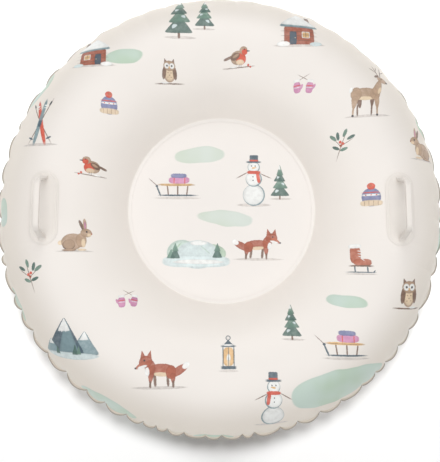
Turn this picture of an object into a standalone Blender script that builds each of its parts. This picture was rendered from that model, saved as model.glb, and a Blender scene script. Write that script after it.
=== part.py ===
# Inflated snow tube: two welded skins, a flat seat, two strap handles and an air valve.
# Metres, +Z up, lying flat on z = 0 with its centre over the origin.
import math

import bmesh
import bpy
import numpy as np
from mathutils import Matrix, Vector

# The ring, blown up from two flat sheets that are welded at the rim and round the seat
SKIN_RADIUS = 0.440
SEAT_RADIUS = 0.189
UPPER_FILM = 0.0006
LOWER_FILM = 0.0008
SEAT_FILM = 0.0010
SEAT_WELD_WIDTH = 0.006
REST_FLAT_DEPTH = 0.0005
CONTACT_GAP = 0.0003
ROUND_STEPS = 64
SECTION_STEPS = 13
SECTION_SAMPLES = 4000
PULL_HALVINGS = 45

# The welded margin that runs round the rim and puckers into lobes
RIM_SEAM_THICKNESS = 0.0014
RIM_SEAM_GRIP = 0.003
RIM_LOBE_REACH = 0.0080
RIM_NOTCH_DEPTH = 0.0055
RIM_LOBE_LENGTH = 0.0385
RIM_LOBE_STEPS = 4
LOBE_ROUNDNESS = 0.7

# The handles: an embossed pad just outside the ring's crest, and a strap that stands on it
HANDLE_OFFSET = 0.0028
HANDLE_SHIFT = 0.012
PAD_LENGTH = 0.140
PAD_WIDTH = 0.054
PAD_FILM = 0.0012
PAD_MARGIN = 0.0025
PAD_BEAD_WIDTH = 0.0055
PAD_BEAD_HEIGHT = 0.0016
PAD_PLATE_RISE = 0.0004
PAD_END_STEPS = 8
PAD_SIDE_STEPS = 5
PAD_INNER_RINGS = 3
PAD_CORE_SHARE = 0.96
GRIP_WIDTH = 0.0125
GRIP_THICKNESS = 0.0060
GRIP_HEIGHT = 0.047
GRIP_BAR_LENGTH = 0.086
GRIP_FOOT_LENGTH = 0.0055
GRIP_FOOT_CLEARANCE = 0.0005
GRIP_FOOT_BEND = 0.006
GRIP_BAR_BEND = 0.014
GRIP_EDGE_ROUND = 0.0026
BEND_STEPS = 5
EDGE_ROUND_STEPS = 3

# The air valve on the lower skin, at the back, pushed in as it is for riding
VALVE_TILT = math.radians(35)
VALVE_STEPS = 24
VALVE_HOLE_CLEARANCE = 0.0006
FLANGE_RADIUS = 0.021
FLANGE_THICKNESS = 0.0012
FLANGE_EDGE_ROUND = 0.0004
FLANGE_RINGS = 3
COLLAR_WALL = 0.0020
COLLAR_DEPTH = 0.010
NECK_RADIUS = 0.0075
NECK_BORE_RADIUS = 0.0045
NECK_LIP_RADIUS = 0.0092
NECK_LIP_THICKNESS = 0.0015
NECK_STOP_RADIUS = 0.0092
NECK_STOP_THICKNESS = 0.0014
NECK_TRAVEL = 0.012
TETHER_THICKNESS = 0.0010
TETHER_WIDTH = 0.0040
TETHER_RING_WALL = 0.0022
TETHER_REACH = 0.0085
TETHER_BEND_SHARE = 0.95
PLUG_DEPTH = 0.0080
PLUG_TAPER = 0.0004
PLUG_HEAD_RADIUS = 0.0095
PLUG_HEAD_THICKNESS = 0.0020
PLUG_EDGE_ROUND = 0.0006
PLUG_TAB_REACH = 0.0045
PLUG_TAB_WIDTH = 0.0070
FLAP_RADIUS = 0.0064
FLAP_THICKNESS = 0.0008
FLAP_TONGUE_WIDTH = 0.0050
FLAP_TONGUE_REACH = 0.0012

MERGE_DISTANCE = 0.00001
SHARP_ANGLE = math.radians(40)

CREAM_PRINTED_FILM = (0.86, 0.81, 0.74)
CREAM_WELD = (0.74, 0.69, 0.61)
CREAM_MOULDING = (0.87, 0.83, 0.77)
CLEAR_WHITE_MOULDING = (0.80, 0.81, 0.80)


def clear_scene():
    for thing in list(bpy.data.objects):
        bpy.data.objects.remove(thing, do_unlink=True)


def new_collection(name):
    collection = bpy.data.collections.new(name)
    bpy.context.scene.collection.children.link(collection)
    return collection


# Section of the ring

def solve_sheet():
    """Radius, height and length along one sheet from the rim to the seat, and its pull.

    Film blown up between two flat welds carries no hoop load, so the sine of its slope
    falls with the square of the radius, from upright at the rim.
    """
    span = SKIN_RADIUS - SEAT_RADIUS
    area = SKIN_RADIUS ** 2 - SEAT_RADIUS ** 2
    share = (np.arange(SECTION_SAMPLES) + 0.5) / SECTION_SAMPLES
    radius = SKIN_RADIUS - span * share ** 2
    step = 2 * span * share / SECTION_SAMPLES
    low, high = 2 / area, 4 / area
    for _ in range(PULL_HALVINGS):
        pull = (low + high) / 2
        sine = 1 - pull * (SKIN_RADIUS ** 2 - radius ** 2) / 2
        cosine = np.sqrt(1 - sine ** 2)
        height = np.cumsum(sine / cosine * step)
        low, high = (pull, high) if height[-1] > 0 else (low, pull)
    return radius, height, np.cumsum(step / cosine), pull


SHEET_RADIUS, SHEET_HEIGHT, SHEET_LENGTH, SHEET_PULL = solve_sheet()
CREST = int(np.argmax(SHEET_HEIGHT))
HALF_HEIGHT = float(SHEET_HEIGHT[CREST])
HANDLE_RADIUS = float(SHEET_RADIUS[CREST]) + HANDLE_OFFSET
MID_HEIGHT = HALF_HEIGHT - REST_FLAT_DEPTH


def slope_sine(radius):
    return 1 - SHEET_PULL * (SKIN_RADIUS ** 2 - radius ** 2) / 2


def sheet_height(radius):
    return float(np.interp(radius, SHEET_RADIUS[::-1], SHEET_HEIGHT[::-1]))


def length_at_height(height, rim_side):
    """Length along the sheet from the rim to the given height, on either side of the crest."""
    if rim_side:
        return np.interp(height, SHEET_HEIGHT[:CREST], SHEET_LENGTH[:CREST])
    return np.interp(-height, -SHEET_HEIGHT[CREST:], SHEET_LENGTH[CREST:])


def sheet_point(length):
    """Radius and height at a length along the sheet."""
    radius = np.interp(length, SHEET_LENGTH, SHEET_RADIUS)
    height = np.interp(length, SHEET_LENGTH, SHEET_HEIGHT)
    return float(radius), float(height)


def on_upper_skin(x, y, lift):
    """Point that stands lift above the upper skin, over the given place."""
    radius = math.hypot(x, y)
    sine = slope_sine(radius)
    outward = Vector((x / radius * sine, y / radius * sine, math.sqrt(1 - sine ** 2)))
    return Vector((x, y, sheet_height(radius))) + outward * lift


# Makers of shapes

def paint(thing, name, colour, roughness, alpha=1.0):
    material = bpy.data.materials.new(name)
    material.use_nodes = True
    shader = material.node_tree.nodes["Principled BSDF"]
    shader.inputs["Base Color"].default_value = (*colour, 1.0)
    shader.inputs["Roughness"].default_value = roughness
    shader.inputs["Metallic"].default_value = 0.0
    shader.inputs["Alpha"].default_value = alpha
    material.diffuse_color = (*colour, alpha)
    thing.data.materials.clear()
    thing.data.materials.append(material)


def place(thing, parent, collection=None):
    (collection or parts).objects.link(thing)
    thing.parent = parent
    return thing


def smooth(thing):
    thing.data.shade_smooth()
    thing.data.set_sharp_from_angle(angle=SHARP_ANGLE)


def turned(name, profile, steps, parent, closed=False, collection=None):
    """Piece turned about its own Z axis, from a profile that runs down its outer side."""
    edges = [(i, i + 1) for i in range(len(profile) - 1)]
    if closed:
        edges.append((len(profile) - 1, 0))
    mesh = bpy.data.meshes.new(name)
    mesh.from_pydata([(radius, 0, height) for radius, height in profile], edges, [])
    thing = place(bpy.data.objects.new(name, mesh), parent, collection)
    screw = thing.modifiers.new("Turn", "SCREW")
    screw.steps = screw.render_steps = steps
    screw.use_merge_vertices = True
    screw.merge_threshold = MERGE_DISTANCE
    return thing


def disc_profile(radius, half_height):
    return [(0, half_height), (radius, half_height), (radius, -half_height), (0, -half_height)]


def frozen(thing):
    """The same piece with its modifiers made real, or its curve made a closed mesh."""
    depsgraph = bpy.context.evaluated_depsgraph_get()
    mesh = bpy.data.meshes.new_from_object(thing.evaluated_get(depsgraph))
    work = bmesh.new()
    work.from_mesh(mesh)
    bmesh.ops.remove_doubles(work, verts=work.verts, dist=MERGE_DISTANCE)
    work.to_mesh(mesh)
    work.free()
    name, parent, matrix = thing.name, thing.parent, thing.matrix_basis.copy()
    collection = thing.users_collection[0]
    bpy.data.objects.remove(thing, do_unlink=True)
    made = place(bpy.data.objects.new(name, mesh), parent, collection)
    made.matrix_basis = matrix
    return made


def flat_piece(name, outlines, thickness, parent):
    """Flat piece of even thickness, centred on its own XY plane. A second outline is a hole."""
    curve = bpy.data.curves.new(name, "CURVE")
    curve.dimensions = "2D"
    curve.fill_mode = "BOTH"
    curve.extrude = thickness / 2
    for outline in outlines:
        spline = curve.splines.new("POLY")
        spline.points.add(len(outline) - 1)
        for point, (x, y) in zip(spline.points, outline):
            point.co = (x, y, 0, 1)
        spline.use_cyclic_u = True
    return frozen(place(bpy.data.objects.new(name, curve), parent))


def band(line, thickness):
    """Closed outline of a strip of even thickness along a line."""
    over, under = [], []
    for i, point in enumerate(line):
        along = line[min(i + 1, len(line) - 1)] - line[max(i - 1, 0)]
        across = Vector((-along.y, along.x)).normalized() * thickness / 2
        over.append(tuple(point + across))
        under.append(tuple(point - across))
    return over + under[::-1]


def moved_points(thing, rule):
    for vertex in thing.data.vertices:
        vertex.co = rule(vertex.co.copy())
    thing.data.update()


def wall(thing, thickness, offset):
    solid = thing.modifiers.new("Wall", "SOLIDIFY")
    solid.thickness = thickness
    solid.offset = offset
    solid.use_even_offset = True
    return solid


def rounded_edges(thing, width):
    bevel = thing.modifiers.new("Round edges", "BEVEL")
    bevel.width = width
    bevel.segments = EDGE_ROUND_STEPS
    bevel.limit_method = "ANGLE"
    bevel.angle_limit = SHARP_ANGLE
    return bevel


def combine(thing, other, operation):
    boolean = thing.modifiers.new(operation.capitalize(), "BOOLEAN")
    boolean.operation = operation
    boolean.solver = "EXACT"
    boolean.object = other


def cut(thing, cutter):
    combine(thing, cutter, "DIFFERENCE")
    cutter.hide_render = True
    cutter.display_type = "WIRE"


def joined(thing, other):
    """Both pieces as one body."""
    combine(thing, other, "UNION")
    whole = frozen(thing)
    bpy.data.objects.remove(other, do_unlink=True)
    return whole


# Skins, seat and rim

def skin_profile(film, rest_flat):
    """Outer face of one skin from the rim to the seat, then in over the seat's weld."""
    rim_end = RIM_SEAM_THICKNESS / 2 + CONTACT_GAP
    weld_top = SEAT_FILM / 2 + CONTACT_GAP + film
    start = length_at_height(rim_end, True)
    end = length_at_height(weld_top, False)
    if rest_flat:
        flat_height = HALF_HEIGHT - REST_FLAT_DEPTH
        flat_start = length_at_height(flat_height, True)
        flat_end = length_at_height(flat_height, False)
        rim_side_share = (flat_start - start) / (end - start)
        rim_side_steps = round(SECTION_STEPS * rim_side_share) + 1
        lengths = [*np.linspace(start, flat_start, rim_side_steps)]
        lengths += [*np.linspace(flat_end, end, SECTION_STEPS - rim_side_steps + 2)]
    else:
        lengths = np.linspace(start, end, SECTION_STEPS + 1)
    profile = [sheet_point(length) for length in lengths]
    return profile + [(SEAT_RADIUS - SEAT_WELD_WIDTH, weld_top)]


def make_upper_skin():
    profile = skin_profile(UPPER_FILM, False)[::-1]
    skin = turned("upper_skin", profile, ROUND_STEPS, centre)
    wall(skin, UPPER_FILM, -1)
    paint(skin, "printed_upper_film", CREAM_PRINTED_FILM, 0.34)
    return skin


def make_lower_skin():
    profile = [(radius, -height) for radius, height in skin_profile(LOWER_FILM, True)]
    skin = turned("lower_skin", profile, ROUND_STEPS, centre)
    wall(skin, LOWER_FILM, -1)
    hole_radius = NECK_RADIUS + CONTACT_GAP + COLLAR_WALL + VALVE_HOLE_CLEARANCE
    outline = disc_profile(hole_radius, COLLAR_DEPTH)
    cutter = turned("valve_hole_cutter", outline, VALVE_STEPS, valve_axis, False, cutters)
    cut(skin, cutter)
    paint(skin, "printed_lower_film", CREAM_PRINTED_FILM, 0.38)
    return skin


def make_seat():
    seat = turned("seat_panel", disc_profile(SEAT_RADIUS, SEAT_FILM / 2), ROUND_STEPS, centre)
    paint(seat, "printed_seat_film", CREAM_PRINTED_FILM, 0.36)
    return seat


def make_rim_seam():
    """Welded margin of both skins, in lobes that are rounded outwards with sharp notches.

    Their count is a multiple of four, so that the margin is as wide as it is long.
    """
    lobes = 4 * round(2 * math.pi * SKIN_RADIUS / RIM_LOBE_LENGTH / 4)
    notch_radius = SKIN_RADIUS + RIM_LOBE_REACH - RIM_NOTCH_DEPTH
    outer = []
    for i in range(lobes * RIM_LOBE_STEPS):
        turn = i / (lobes * RIM_LOBE_STEPS)
        swell = abs(math.cos(math.pi * lobes * turn)) ** LOBE_ROUNDNESS
        radius = notch_radius + RIM_NOTCH_DEPTH * swell
        outer.append((radius * math.cos(2 * math.pi * turn), radius * math.sin(2 * math.pi * turn)))
    inner_radius = SKIN_RADIUS - RIM_SEAM_GRIP
    inner = []
    for i in range(ROUND_STEPS):
        angle = 2 * math.pi * i / ROUND_STEPS
        inner.append((inner_radius * math.cos(angle), inner_radius * math.sin(angle)))
    seam = flat_piece("rim_seam", [outer, inner], RIM_SEAM_THICKNESS, centre)
    paint(seam, "welded_rim_film", CREAM_WELD, 0.42)
    return seam


# Handles

def pad_outline():
    """Long rounded outline about the pad's centre, its length along Y."""
    radius = PAD_WIDTH / 2
    straight = PAD_LENGTH / 2 - radius
    points = []
    for end in (1, -1):
        for i in range(PAD_END_STEPS + 1):
            angle = math.pi * i / PAD_END_STEPS
            points.append((end * radius * math.cos(angle), end * (straight + radius * math.sin(angle))))
        for i in range(1, PAD_SIDE_STEPS):
            points.append((-end * radius, end * straight * (1 - 2 * i / PAD_SIDE_STEPS)))
    return points


def pad_rings():
    """Distance in from the pad's edge, and rise of the embossing there."""
    bead_start = PAD_MARGIN
    bead_end = PAD_MARGIN + PAD_BEAD_WIDTH
    rings = [
        (bead_start, 0),
        (bead_start + PAD_BEAD_WIDTH / 4, PAD_BEAD_HEIGHT),
        (bead_end - PAD_BEAD_WIDTH / 4, PAD_BEAD_HEIGHT),
        (bead_end, PAD_PLATE_RISE),
    ]
    core = PAD_WIDTH / 2 * PAD_CORE_SHARE
    for i in range(1, PAD_INNER_RINGS + 1):
        rings.append((bead_end + (core - bead_end) * i / PAD_INNER_RINGS, PAD_PLATE_RISE))
    return rings


def make_pad(name, side, frame):
    """Pad welded on the skin: rings set in one after another, then laid on the curved skin."""
    work = bmesh.new()
    rise = work.verts.layers.float.new("rise")
    face = work.faces.new([work.verts.new((x, y, 0)) for x, y in pad_outline()])
    face.normal_update()
    depth = 0
    for distance, height in pad_rings():
        bmesh.ops.inset_region(
            work, faces=[face], thickness=distance - depth, use_boundary=True, use_even_offset=True)
        for vertex in face.verts:
            vertex[rise] = height
        depth = distance
    to_frame = frame.inverted()
    for vertex in work.verts:
        x = side * (HANDLE_RADIUS + vertex.co.x)
        y = -HANDLE_SHIFT + side * vertex.co.y
        vertex.co = to_frame @ on_upper_skin(x, y, CONTACT_GAP + vertex[rise])
    mesh = bpy.data.meshes.new(name)
    work.to_mesh(mesh)
    work.free()
    pad = place(bpy.data.objects.new(name, mesh), centre)
    pad.matrix_basis = frame
    wall(pad, PAD_FILM, 1)
    paint(pad, name + "_moulding", CREAM_MOULDING, 0.40)
    return pad


def rounded_path(corners):
    """Points along straight runs joined by arcs. Each corner is x, y and the arc's radius."""
    path = [Vector(corners[0][:2])]
    for before, corner, after in zip(corners, corners[1:], corners[2:]):
        here = Vector(corner[:2])
        back = (Vector(before[:2]) - here).normalized()
        on = (Vector(after[:2]) - here).normalized()
        half = back.angle(on) / 2
        middle = here + (back + on).normalized() * corner[2] / math.sin(half)
        first = here + back * corner[2] / math.tan(half) - middle
        last = here + on * corner[2] / math.tan(half) - middle
        for i in range(BEND_STEPS + 1):
            spoke = first.lerp(last, i / BEND_STEPS).normalized() * corner[2]
            path.append(middle + spoke)
    path.append(Vector(corners[-1][:2]))
    return path


def grip_outline():
    """Side view of the strap: two feet, two sloping legs and the bar between them."""
    plate_radius = PAD_WIDTH / 2 - PAD_MARGIN - PAD_BEAD_WIDTH
    plate_end = (PAD_LENGTH - PAD_WIDTH) / 2 + math.sqrt(plate_radius ** 2 - (GRIP_WIDTH / 2) ** 2)
    foot = plate_end - GRIP_FOOT_CLEARANCE
    root = foot - GRIP_FOOT_LENGTH
    low = GRIP_THICKNESS / 2
    high = GRIP_HEIGHT - GRIP_THICKNESS / 2
    bar = GRIP_BAR_LENGTH / 2
    line = rounded_path([
        (-foot, low, 0),
        (-root, low, GRIP_FOOT_BEND),
        (-bar, high, GRIP_BAR_BEND),
        (bar, high, GRIP_BAR_BEND),
        (root, low, GRIP_FOOT_BEND),
        (foot, low, 0),
    ])
    return band(line, GRIP_THICKNESS)


def make_grip(name, frame):
    """Strap that stands on the pad. Its side view is drawn flat, then turned up along Y."""
    grip = flat_piece(name, [grip_outline()], GRIP_WIDTH, centre)
    moved_points(grip, lambda p: Vector((p.z, p.x, p.y)))
    stand = CONTACT_GAP + PAD_FILM + PAD_PLATE_RISE + CONTACT_GAP
    grip.matrix_basis = frame @ Matrix.Translation((0, 0, stand))
    rounded_edges(grip, GRIP_EDGE_ROUND)
    paint(grip, name + "_moulding", CREAM_MOULDING, 0.36)
    return grip


def make_handle(label, side):
    spot = on_upper_skin(side * HANDLE_RADIUS, -HANDLE_SHIFT, 0)
    up = (on_upper_skin(side * HANDLE_RADIUS, -HANDLE_SHIFT, HALF_HEIGHT) - spot).normalized()
    along = Vector((0, side, 0))
    out = along.cross(up).normalized()
    along = up.cross(out)
    frame = Matrix.Translation(spot) @ Matrix((out, along, up)).transposed().to_4x4()
    smooth(make_pad(label + "_handle_pad", side, frame))
    smooth(make_grip(label + "_handle_grip", frame))


# Air valve, along the Z axis of its own empty, which leaves the lower skin at a right angle

def valve_frame():
    sine = math.cos(VALVE_TILT)
    radius = math.sqrt(SKIN_RADIUS ** 2 - 2 * (1 - sine) / SHEET_PULL)
    spot = Vector((0, radius, -sheet_height(radius)))
    out = Vector((0, math.cos(VALVE_TILT), -math.sin(VALVE_TILT)))
    along = Vector((1, 0, 0))
    up = out.cross(along)
    frame = Matrix.Translation(spot) @ Matrix((along, up, out)).transposed().to_4x4()
    return frame, sine / radius, SHEET_PULL * radius


FLANGE_TOP = CONTACT_GAP + FLANGE_THICKNESS
RING_TOP = FLANGE_TOP + CONTACT_GAP + TETHER_THICKNESS
LIP_TOP = RING_TOP + CONTACT_GAP + NECK_LIP_THICKNESS
HEAD_BASE = LIP_TOP + CONTACT_GAP
HEAD_TOP = HEAD_BASE + PLUG_HEAD_THICKNESS
STOP_TOP = -COLLAR_DEPTH - NECK_TRAVEL - CONTACT_GAP
NECK_END = STOP_TOP - NECK_STOP_THICKNESS
FLAP_TOP = NECK_END - CONTACT_GAP


def make_flange(bend_along, bend_up):
    """Disc welded on the skin, with a collar that goes in through the skin's hole."""
    inner = NECK_RADIUS + CONTACT_GAP
    outer = inner + COLLAR_WALL
    top = FLANGE_TOP
    profile = [(inner, top)]
    rim = FLANGE_RADIUS - FLANGE_EDGE_ROUND
    profile += [(outer + (rim - outer) * i / FLANGE_RINGS, top) for i in range(FLANGE_RINGS + 1)]
    profile += [(FLANGE_RADIUS, top - FLANGE_EDGE_ROUND), (FLANGE_RADIUS, CONTACT_GAP)]
    for i in range(1, FLANGE_RINGS + 1):
        profile.append((FLANGE_RADIUS + (outer - FLANGE_RADIUS) * i / FLANGE_RINGS, CONTACT_GAP))
    profile += [(outer, -COLLAR_DEPTH), (inner, -COLLAR_DEPTH)]
    flange = frozen(turned("valve_flange", profile, VALVE_STEPS, valve_axis, True))

    def laid_on_skin(p):
        if math.hypot(p.x, p.y) > outer + MERGE_DISTANCE:
            p.z -= (bend_along * p.x ** 2 + bend_up * p.y ** 2) / 2
        return p

    moved_points(flange, laid_on_skin)
    paint(flange, "valve_flange_moulding", CLEAR_WHITE_MOULDING, 0.30)
    smooth(flange)


def make_neck():
    """Tube that slides in the collar. The lip stops it going in, the ring below it coming out."""
    profile = [
        (NECK_BORE_RADIUS, LIP_TOP),
        (NECK_LIP_RADIUS, LIP_TOP),
        (NECK_LIP_RADIUS, LIP_TOP - NECK_LIP_THICKNESS),
        (NECK_RADIUS, LIP_TOP - NECK_LIP_THICKNESS),
        (NECK_RADIUS, STOP_TOP),
        (NECK_STOP_RADIUS, STOP_TOP),
        (NECK_STOP_RADIUS, NECK_END),
        (NECK_BORE_RADIUS, NECK_END),
    ]
    neck = turned("valve_neck", profile, VALVE_STEPS, valve_axis, True)
    paint(neck, "valve_neck_moulding", CLEAR_WHITE_MOULDING, 0.28)
    smooth(neck)


def make_plug():
    """Stopper with a head that lies on the neck's lip, and a tab to pull it by."""
    stem = NECK_BORE_RADIUS - CONTACT_GAP
    profile = [
        (0, HEAD_TOP),
        (PLUG_HEAD_RADIUS - PLUG_EDGE_ROUND, HEAD_TOP),
        (PLUG_HEAD_RADIUS, HEAD_TOP - PLUG_EDGE_ROUND),
        (PLUG_HEAD_RADIUS, HEAD_BASE),
        (stem, HEAD_BASE),
        (stem - PLUG_TAPER, LIP_TOP - PLUG_DEPTH),
        (0, LIP_TOP - PLUG_DEPTH),
    ]
    plug = turned("valve_plug", profile, VALVE_STEPS, valve_axis)
    reach = PLUG_HEAD_RADIUS + PLUG_TAB_REACH
    half = PLUG_TAB_WIDTH / 2
    tab_outline = rounded_path([
        (-PLUG_HEAD_RADIUS / 2, half, 0),
        (-reach, half, half / 2),
        (-reach, -half, half / 2),
        (-PLUG_HEAD_RADIUS / 2, -half, 0),
    ])
    tab_thickness = PLUG_HEAD_THICKNESS - 2 * PLUG_EDGE_ROUND
    tab = flat_piece("valve_plug_tab", [[tuple(p) for p in tab_outline]], tab_thickness, valve_axis)
    lift = (HEAD_BASE + HEAD_TOP) / 2
    moved_points(tab, lambda p: p + Vector((0, 0, lift)))
    plug = joined(plug, tab)
    paint(plug, "valve_plug_moulding", CLEAR_WHITE_MOULDING, 0.32)
    smooth(plug)


def make_tether():
    """Ring round the neck under its lip, and a strap that loops up to the plug's head."""
    inner = NECK_RADIUS + CONTACT_GAP
    outer = inner + TETHER_RING_WALL
    low = FLANGE_TOP + CONTACT_GAP
    profile = [(inner, RING_TOP), (outer, RING_TOP), (outer, low), (inner, low)]
    ring = turned("valve_tether", profile, VALVE_STEPS, valve_axis, True)
    half = TETHER_THICKNESS / 2
    strap_low = low + half
    strap_high = HEAD_TOP - half
    turn = (strap_high - strap_low) / 2
    reach = outer + TETHER_REACH
    start = (inner + outer) / 2
    line = rounded_path([
        (start, strap_low, 0),
        (reach, strap_low, turn * TETHER_BEND_SHARE),
        (reach, strap_high, turn * TETHER_BEND_SHARE),
        (PLUG_HEAD_RADIUS + CONTACT_GAP, strap_high, 0),
    ])
    outline = band(line, TETHER_THICKNESS)
    strap = flat_piece("valve_tether_strap", [outline], TETHER_WIDTH, valve_axis)
    moved_points(strap, lambda p: Vector((p.x, -p.z, p.y)))
    tether = joined(ring, strap)
    paint(tether, "valve_tether_moulding", CLEAR_WHITE_MOULDING, 0.34)
    smooth(tether)


def make_flap():
    """Disc under the neck's inner end. It swings on the outer edge of its tongue's upper face."""
    hinge = -FLAP_RADIUS - FLAP_TONGUE_REACH
    outline = []
    half = FLAP_TONGUE_WIDTH / 2
    start = math.asin(half / FLAP_RADIUS)
    for i in range(VALVE_STEPS + 1):
        angle = math.pi + start + (2 * math.pi - 2 * start) * i / VALVE_STEPS
        outline.append((FLAP_RADIUS * math.cos(angle) - hinge, FLAP_RADIUS * math.sin(angle)))
    outline += [(0, half), (0, -half)]
    flap = flat_piece("valve_flap", [outline], FLAP_THICKNESS, valve_axis)
    moved_points(flap, lambda p: p - Vector((0, 0, FLAP_THICKNESS / 2)))
    flap.location = (hinge, 0, FLAP_TOP)
    paint(flap, "valve_flap_film", CLEAR_WHITE_MOULDING, 0.30)
    smooth(flap)


clear_scene()
parts = new_collection("snow_tube")
cutters = new_collection("snow_tube_cutters")
centre = place(bpy.data.objects.new("tube_centre", None), None)
centre.location = (0, 0, MID_HEIGHT)
valve_axis = place(bpy.data.objects.new("valve_axis", None), centre)
valve_axis.matrix_basis, valve_bend_along, valve_bend_up = valve_frame()
bpy.context.view_layer.update()

smooth(make_upper_skin())
smooth(make_lower_skin())
smooth(make_seat())
smooth(make_rim_seam())
make_handle("left", -1)
make_handle("right", 1)
make_flange(valve_bend_along, valve_bend_up)
make_neck()
make_flap()
make_plug()
make_tether()
bpy.context.view_layer.update()
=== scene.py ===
import math

import bpy
import numpy as np
from mathutils import Matrix, Vector


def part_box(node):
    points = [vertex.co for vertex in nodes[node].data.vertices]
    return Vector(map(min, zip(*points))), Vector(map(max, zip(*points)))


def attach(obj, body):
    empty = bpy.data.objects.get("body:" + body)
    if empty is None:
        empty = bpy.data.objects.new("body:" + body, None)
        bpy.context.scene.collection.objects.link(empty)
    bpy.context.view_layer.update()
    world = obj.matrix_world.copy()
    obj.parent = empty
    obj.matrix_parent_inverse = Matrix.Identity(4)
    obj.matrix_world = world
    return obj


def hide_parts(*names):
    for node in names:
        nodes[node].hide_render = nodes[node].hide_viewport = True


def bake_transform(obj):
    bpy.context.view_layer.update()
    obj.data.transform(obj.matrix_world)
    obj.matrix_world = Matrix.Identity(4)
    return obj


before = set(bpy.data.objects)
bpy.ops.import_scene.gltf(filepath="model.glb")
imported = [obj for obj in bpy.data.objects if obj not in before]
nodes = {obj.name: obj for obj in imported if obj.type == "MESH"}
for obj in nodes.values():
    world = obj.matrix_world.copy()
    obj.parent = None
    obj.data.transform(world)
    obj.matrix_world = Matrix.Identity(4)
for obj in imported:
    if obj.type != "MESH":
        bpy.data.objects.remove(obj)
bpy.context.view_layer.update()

# Metres throughout. The ring's section is that of film blown up between two flat welds.
tubeSettings = {
    "rimRadius": 0.440,
    "seatRadius": 0.189,
    "seatWeldWidth": 0.006,
    "upperFilm": 0.0006,
    "lowerFilm": 0.0008,
    "seatFilm": 0.0010,
    "marginFilm": 0.0014,
    "gap": 0.0003,
    "lobes": 56,
    "stepsPerLobe": 15,
    "samples": 4000,
    "halvings": 45,
}
rimRadius, seatRadius = tubeSettings["rimRadius"], tubeSettings["seatRadius"]
lobes, stepsPerLobe = tubeSettings["lobes"], tubeSettings["stepsPerLobe"]
steps = lobes * stepsPerLobe
seatLow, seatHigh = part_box("seat_panel")
midHeight = (seatLow[2] + seatHigh[2]) / 2


# Modelling by hand: what every piece uses

def deselectAll():
    if bpy.context.mode != "OBJECT":
        bpy.ops.object.mode_set(mode="OBJECT")
    bpy.ops.object.select_all(action="DESELECT")


def named(name):
    piece = bpy.context.object
    piece.name = piece.data.name = name
    return piece


def editing(selected="SELECT", element="VERT"):
    bpy.ops.object.mode_set(mode="EDIT")
    bpy.ops.mesh.select_mode(type=element)
    if selected:
        bpy.ops.mesh.select_all(action=selected)


def finished():
    bpy.ops.object.mode_set(mode="OBJECT")


def extrudeBy(shift):
    bpy.ops.mesh.extrude_region_move(TRANSFORM_OT_translate={"value": tuple(shift)})


def ringStack(name, rings, count, closed=False, pole=False):
    # A circle extruded and resized from ring to ring about the Z axis
    deselectAll()
    radius, height = rings[0]
    bpy.ops.mesh.primitive_circle_add(vertices=count, radius=radius, fill_type="NOTHING")
    piece = named(name)
    editing()
    bpy.ops.transform.translate(value=(0, 0, height))
    for newRadius, newHeight in rings[1:] + (rings[:1] if closed else []):
        extrudeBy((0, 0, newHeight - height))
        share = newRadius / radius
        bpy.ops.transform.resize(value=(share, share, 1), center_override=(0, 0, newHeight))
        radius, height = newRadius, newHeight
    if pole:
        bpy.ops.mesh.merge(type="CENTER")
    bpy.ops.mesh.select_all(action="SELECT")
    if closed:
        bpy.ops.mesh.remove_doubles(threshold=0.000001)
    bpy.ops.mesh.normals_make_consistent(inside=False)
    finished()
    return piece


def readAll(collection, key, width=1, kind=float):
    values = np.empty(len(collection) * width, dtype=kind)
    collection.foreach_get(key, values)
    return values.reshape(-1, width) if width > 1 else values


def places(piece):
    return readAll(piece.data.vertices, "co", 3)


def putBack(piece, points):
    piece.data.vertices.foreach_set("co", np.asarray(points, dtype=float).ravel())
    piece.data.update()


def keepFlat(piece, x, y, face):
    # Where each vertex lay on the flat sheet, and on which face of it
    place = np.column_stack(np.broadcast_arrays(x, y, face))
    layer = piece.data.attributes.new("flatPlace", "FLOAT_VECTOR", "POINT")
    layer.data.foreach_set("vector", place.ravel())


def faceUp(piece, upwards=True):
    # Turns the faces over if most of their area looks the wrong way
    normals = readAll(piece.data.polygons, "normal", 3)
    areas = readAll(piece.data.polygons, "area")
    if ((normals[:, 2] * areas).sum() > 0) != upwards:
        editing()
        bpy.ops.mesh.flip_normals()
        finished()


def outwards():
    editing()
    bpy.ops.mesh.normals_make_consistent(inside=False)
    finished()


def picked(piece, *others):
    deselectAll()
    for each in (piece, *others):
        each.select_set(True)
    bpy.context.view_layer.objects.active = piece


def applied(piece, kind, **settings):
    picked(piece)
    modifier = piece.modifiers.new(kind.title(), kind)
    for key, value in settings.items():
        setattr(modifier, key, value)
    bpy.ops.object.modifier_apply(modifier=modifier.name)


def smoothed(piece, degrees=40):
    picked(piece)
    bpy.ops.object.shade_smooth_by_angle(angle=math.radians(degrees))


def superellipse(angle, power):
    # How far out the outline is at an angle
    return (np.abs(np.cos(angle)) ** power + np.abs(np.sin(angle)) ** power) ** (-1 / power)


def blendIn(low, high, value):
    share = np.clip((value - low) / (high - low), 0, 1)
    return share * share * (3 - 2 * share)


# The section of the ring

def solveSection():
    # The sine of the film's slope falls with the square of the radius, from upright at the rim
    share = (np.arange(tubeSettings["samples"]) + 0.5) / tubeSettings["samples"]
    span = rimRadius - seatRadius
    radius = rimRadius - span * share ** 2
    step = 2 * span * share / tubeSettings["samples"]
    area = rimRadius ** 2 - seatRadius ** 2
    low, high = 2 / area, 4 / area
    for _ in range(tubeSettings["halvings"]):
        pull = (low + high) / 2
        sine = 1 - pull * (rimRadius ** 2 - radius ** 2) / 2
        cosine = np.sqrt(1 - sine ** 2)
        height = np.cumsum(sine / cosine * step)
        low, high = (pull, high) if height[-1] > 0 else (low, pull)
    return radius, height, np.cumsum(step / cosine), pull


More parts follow.
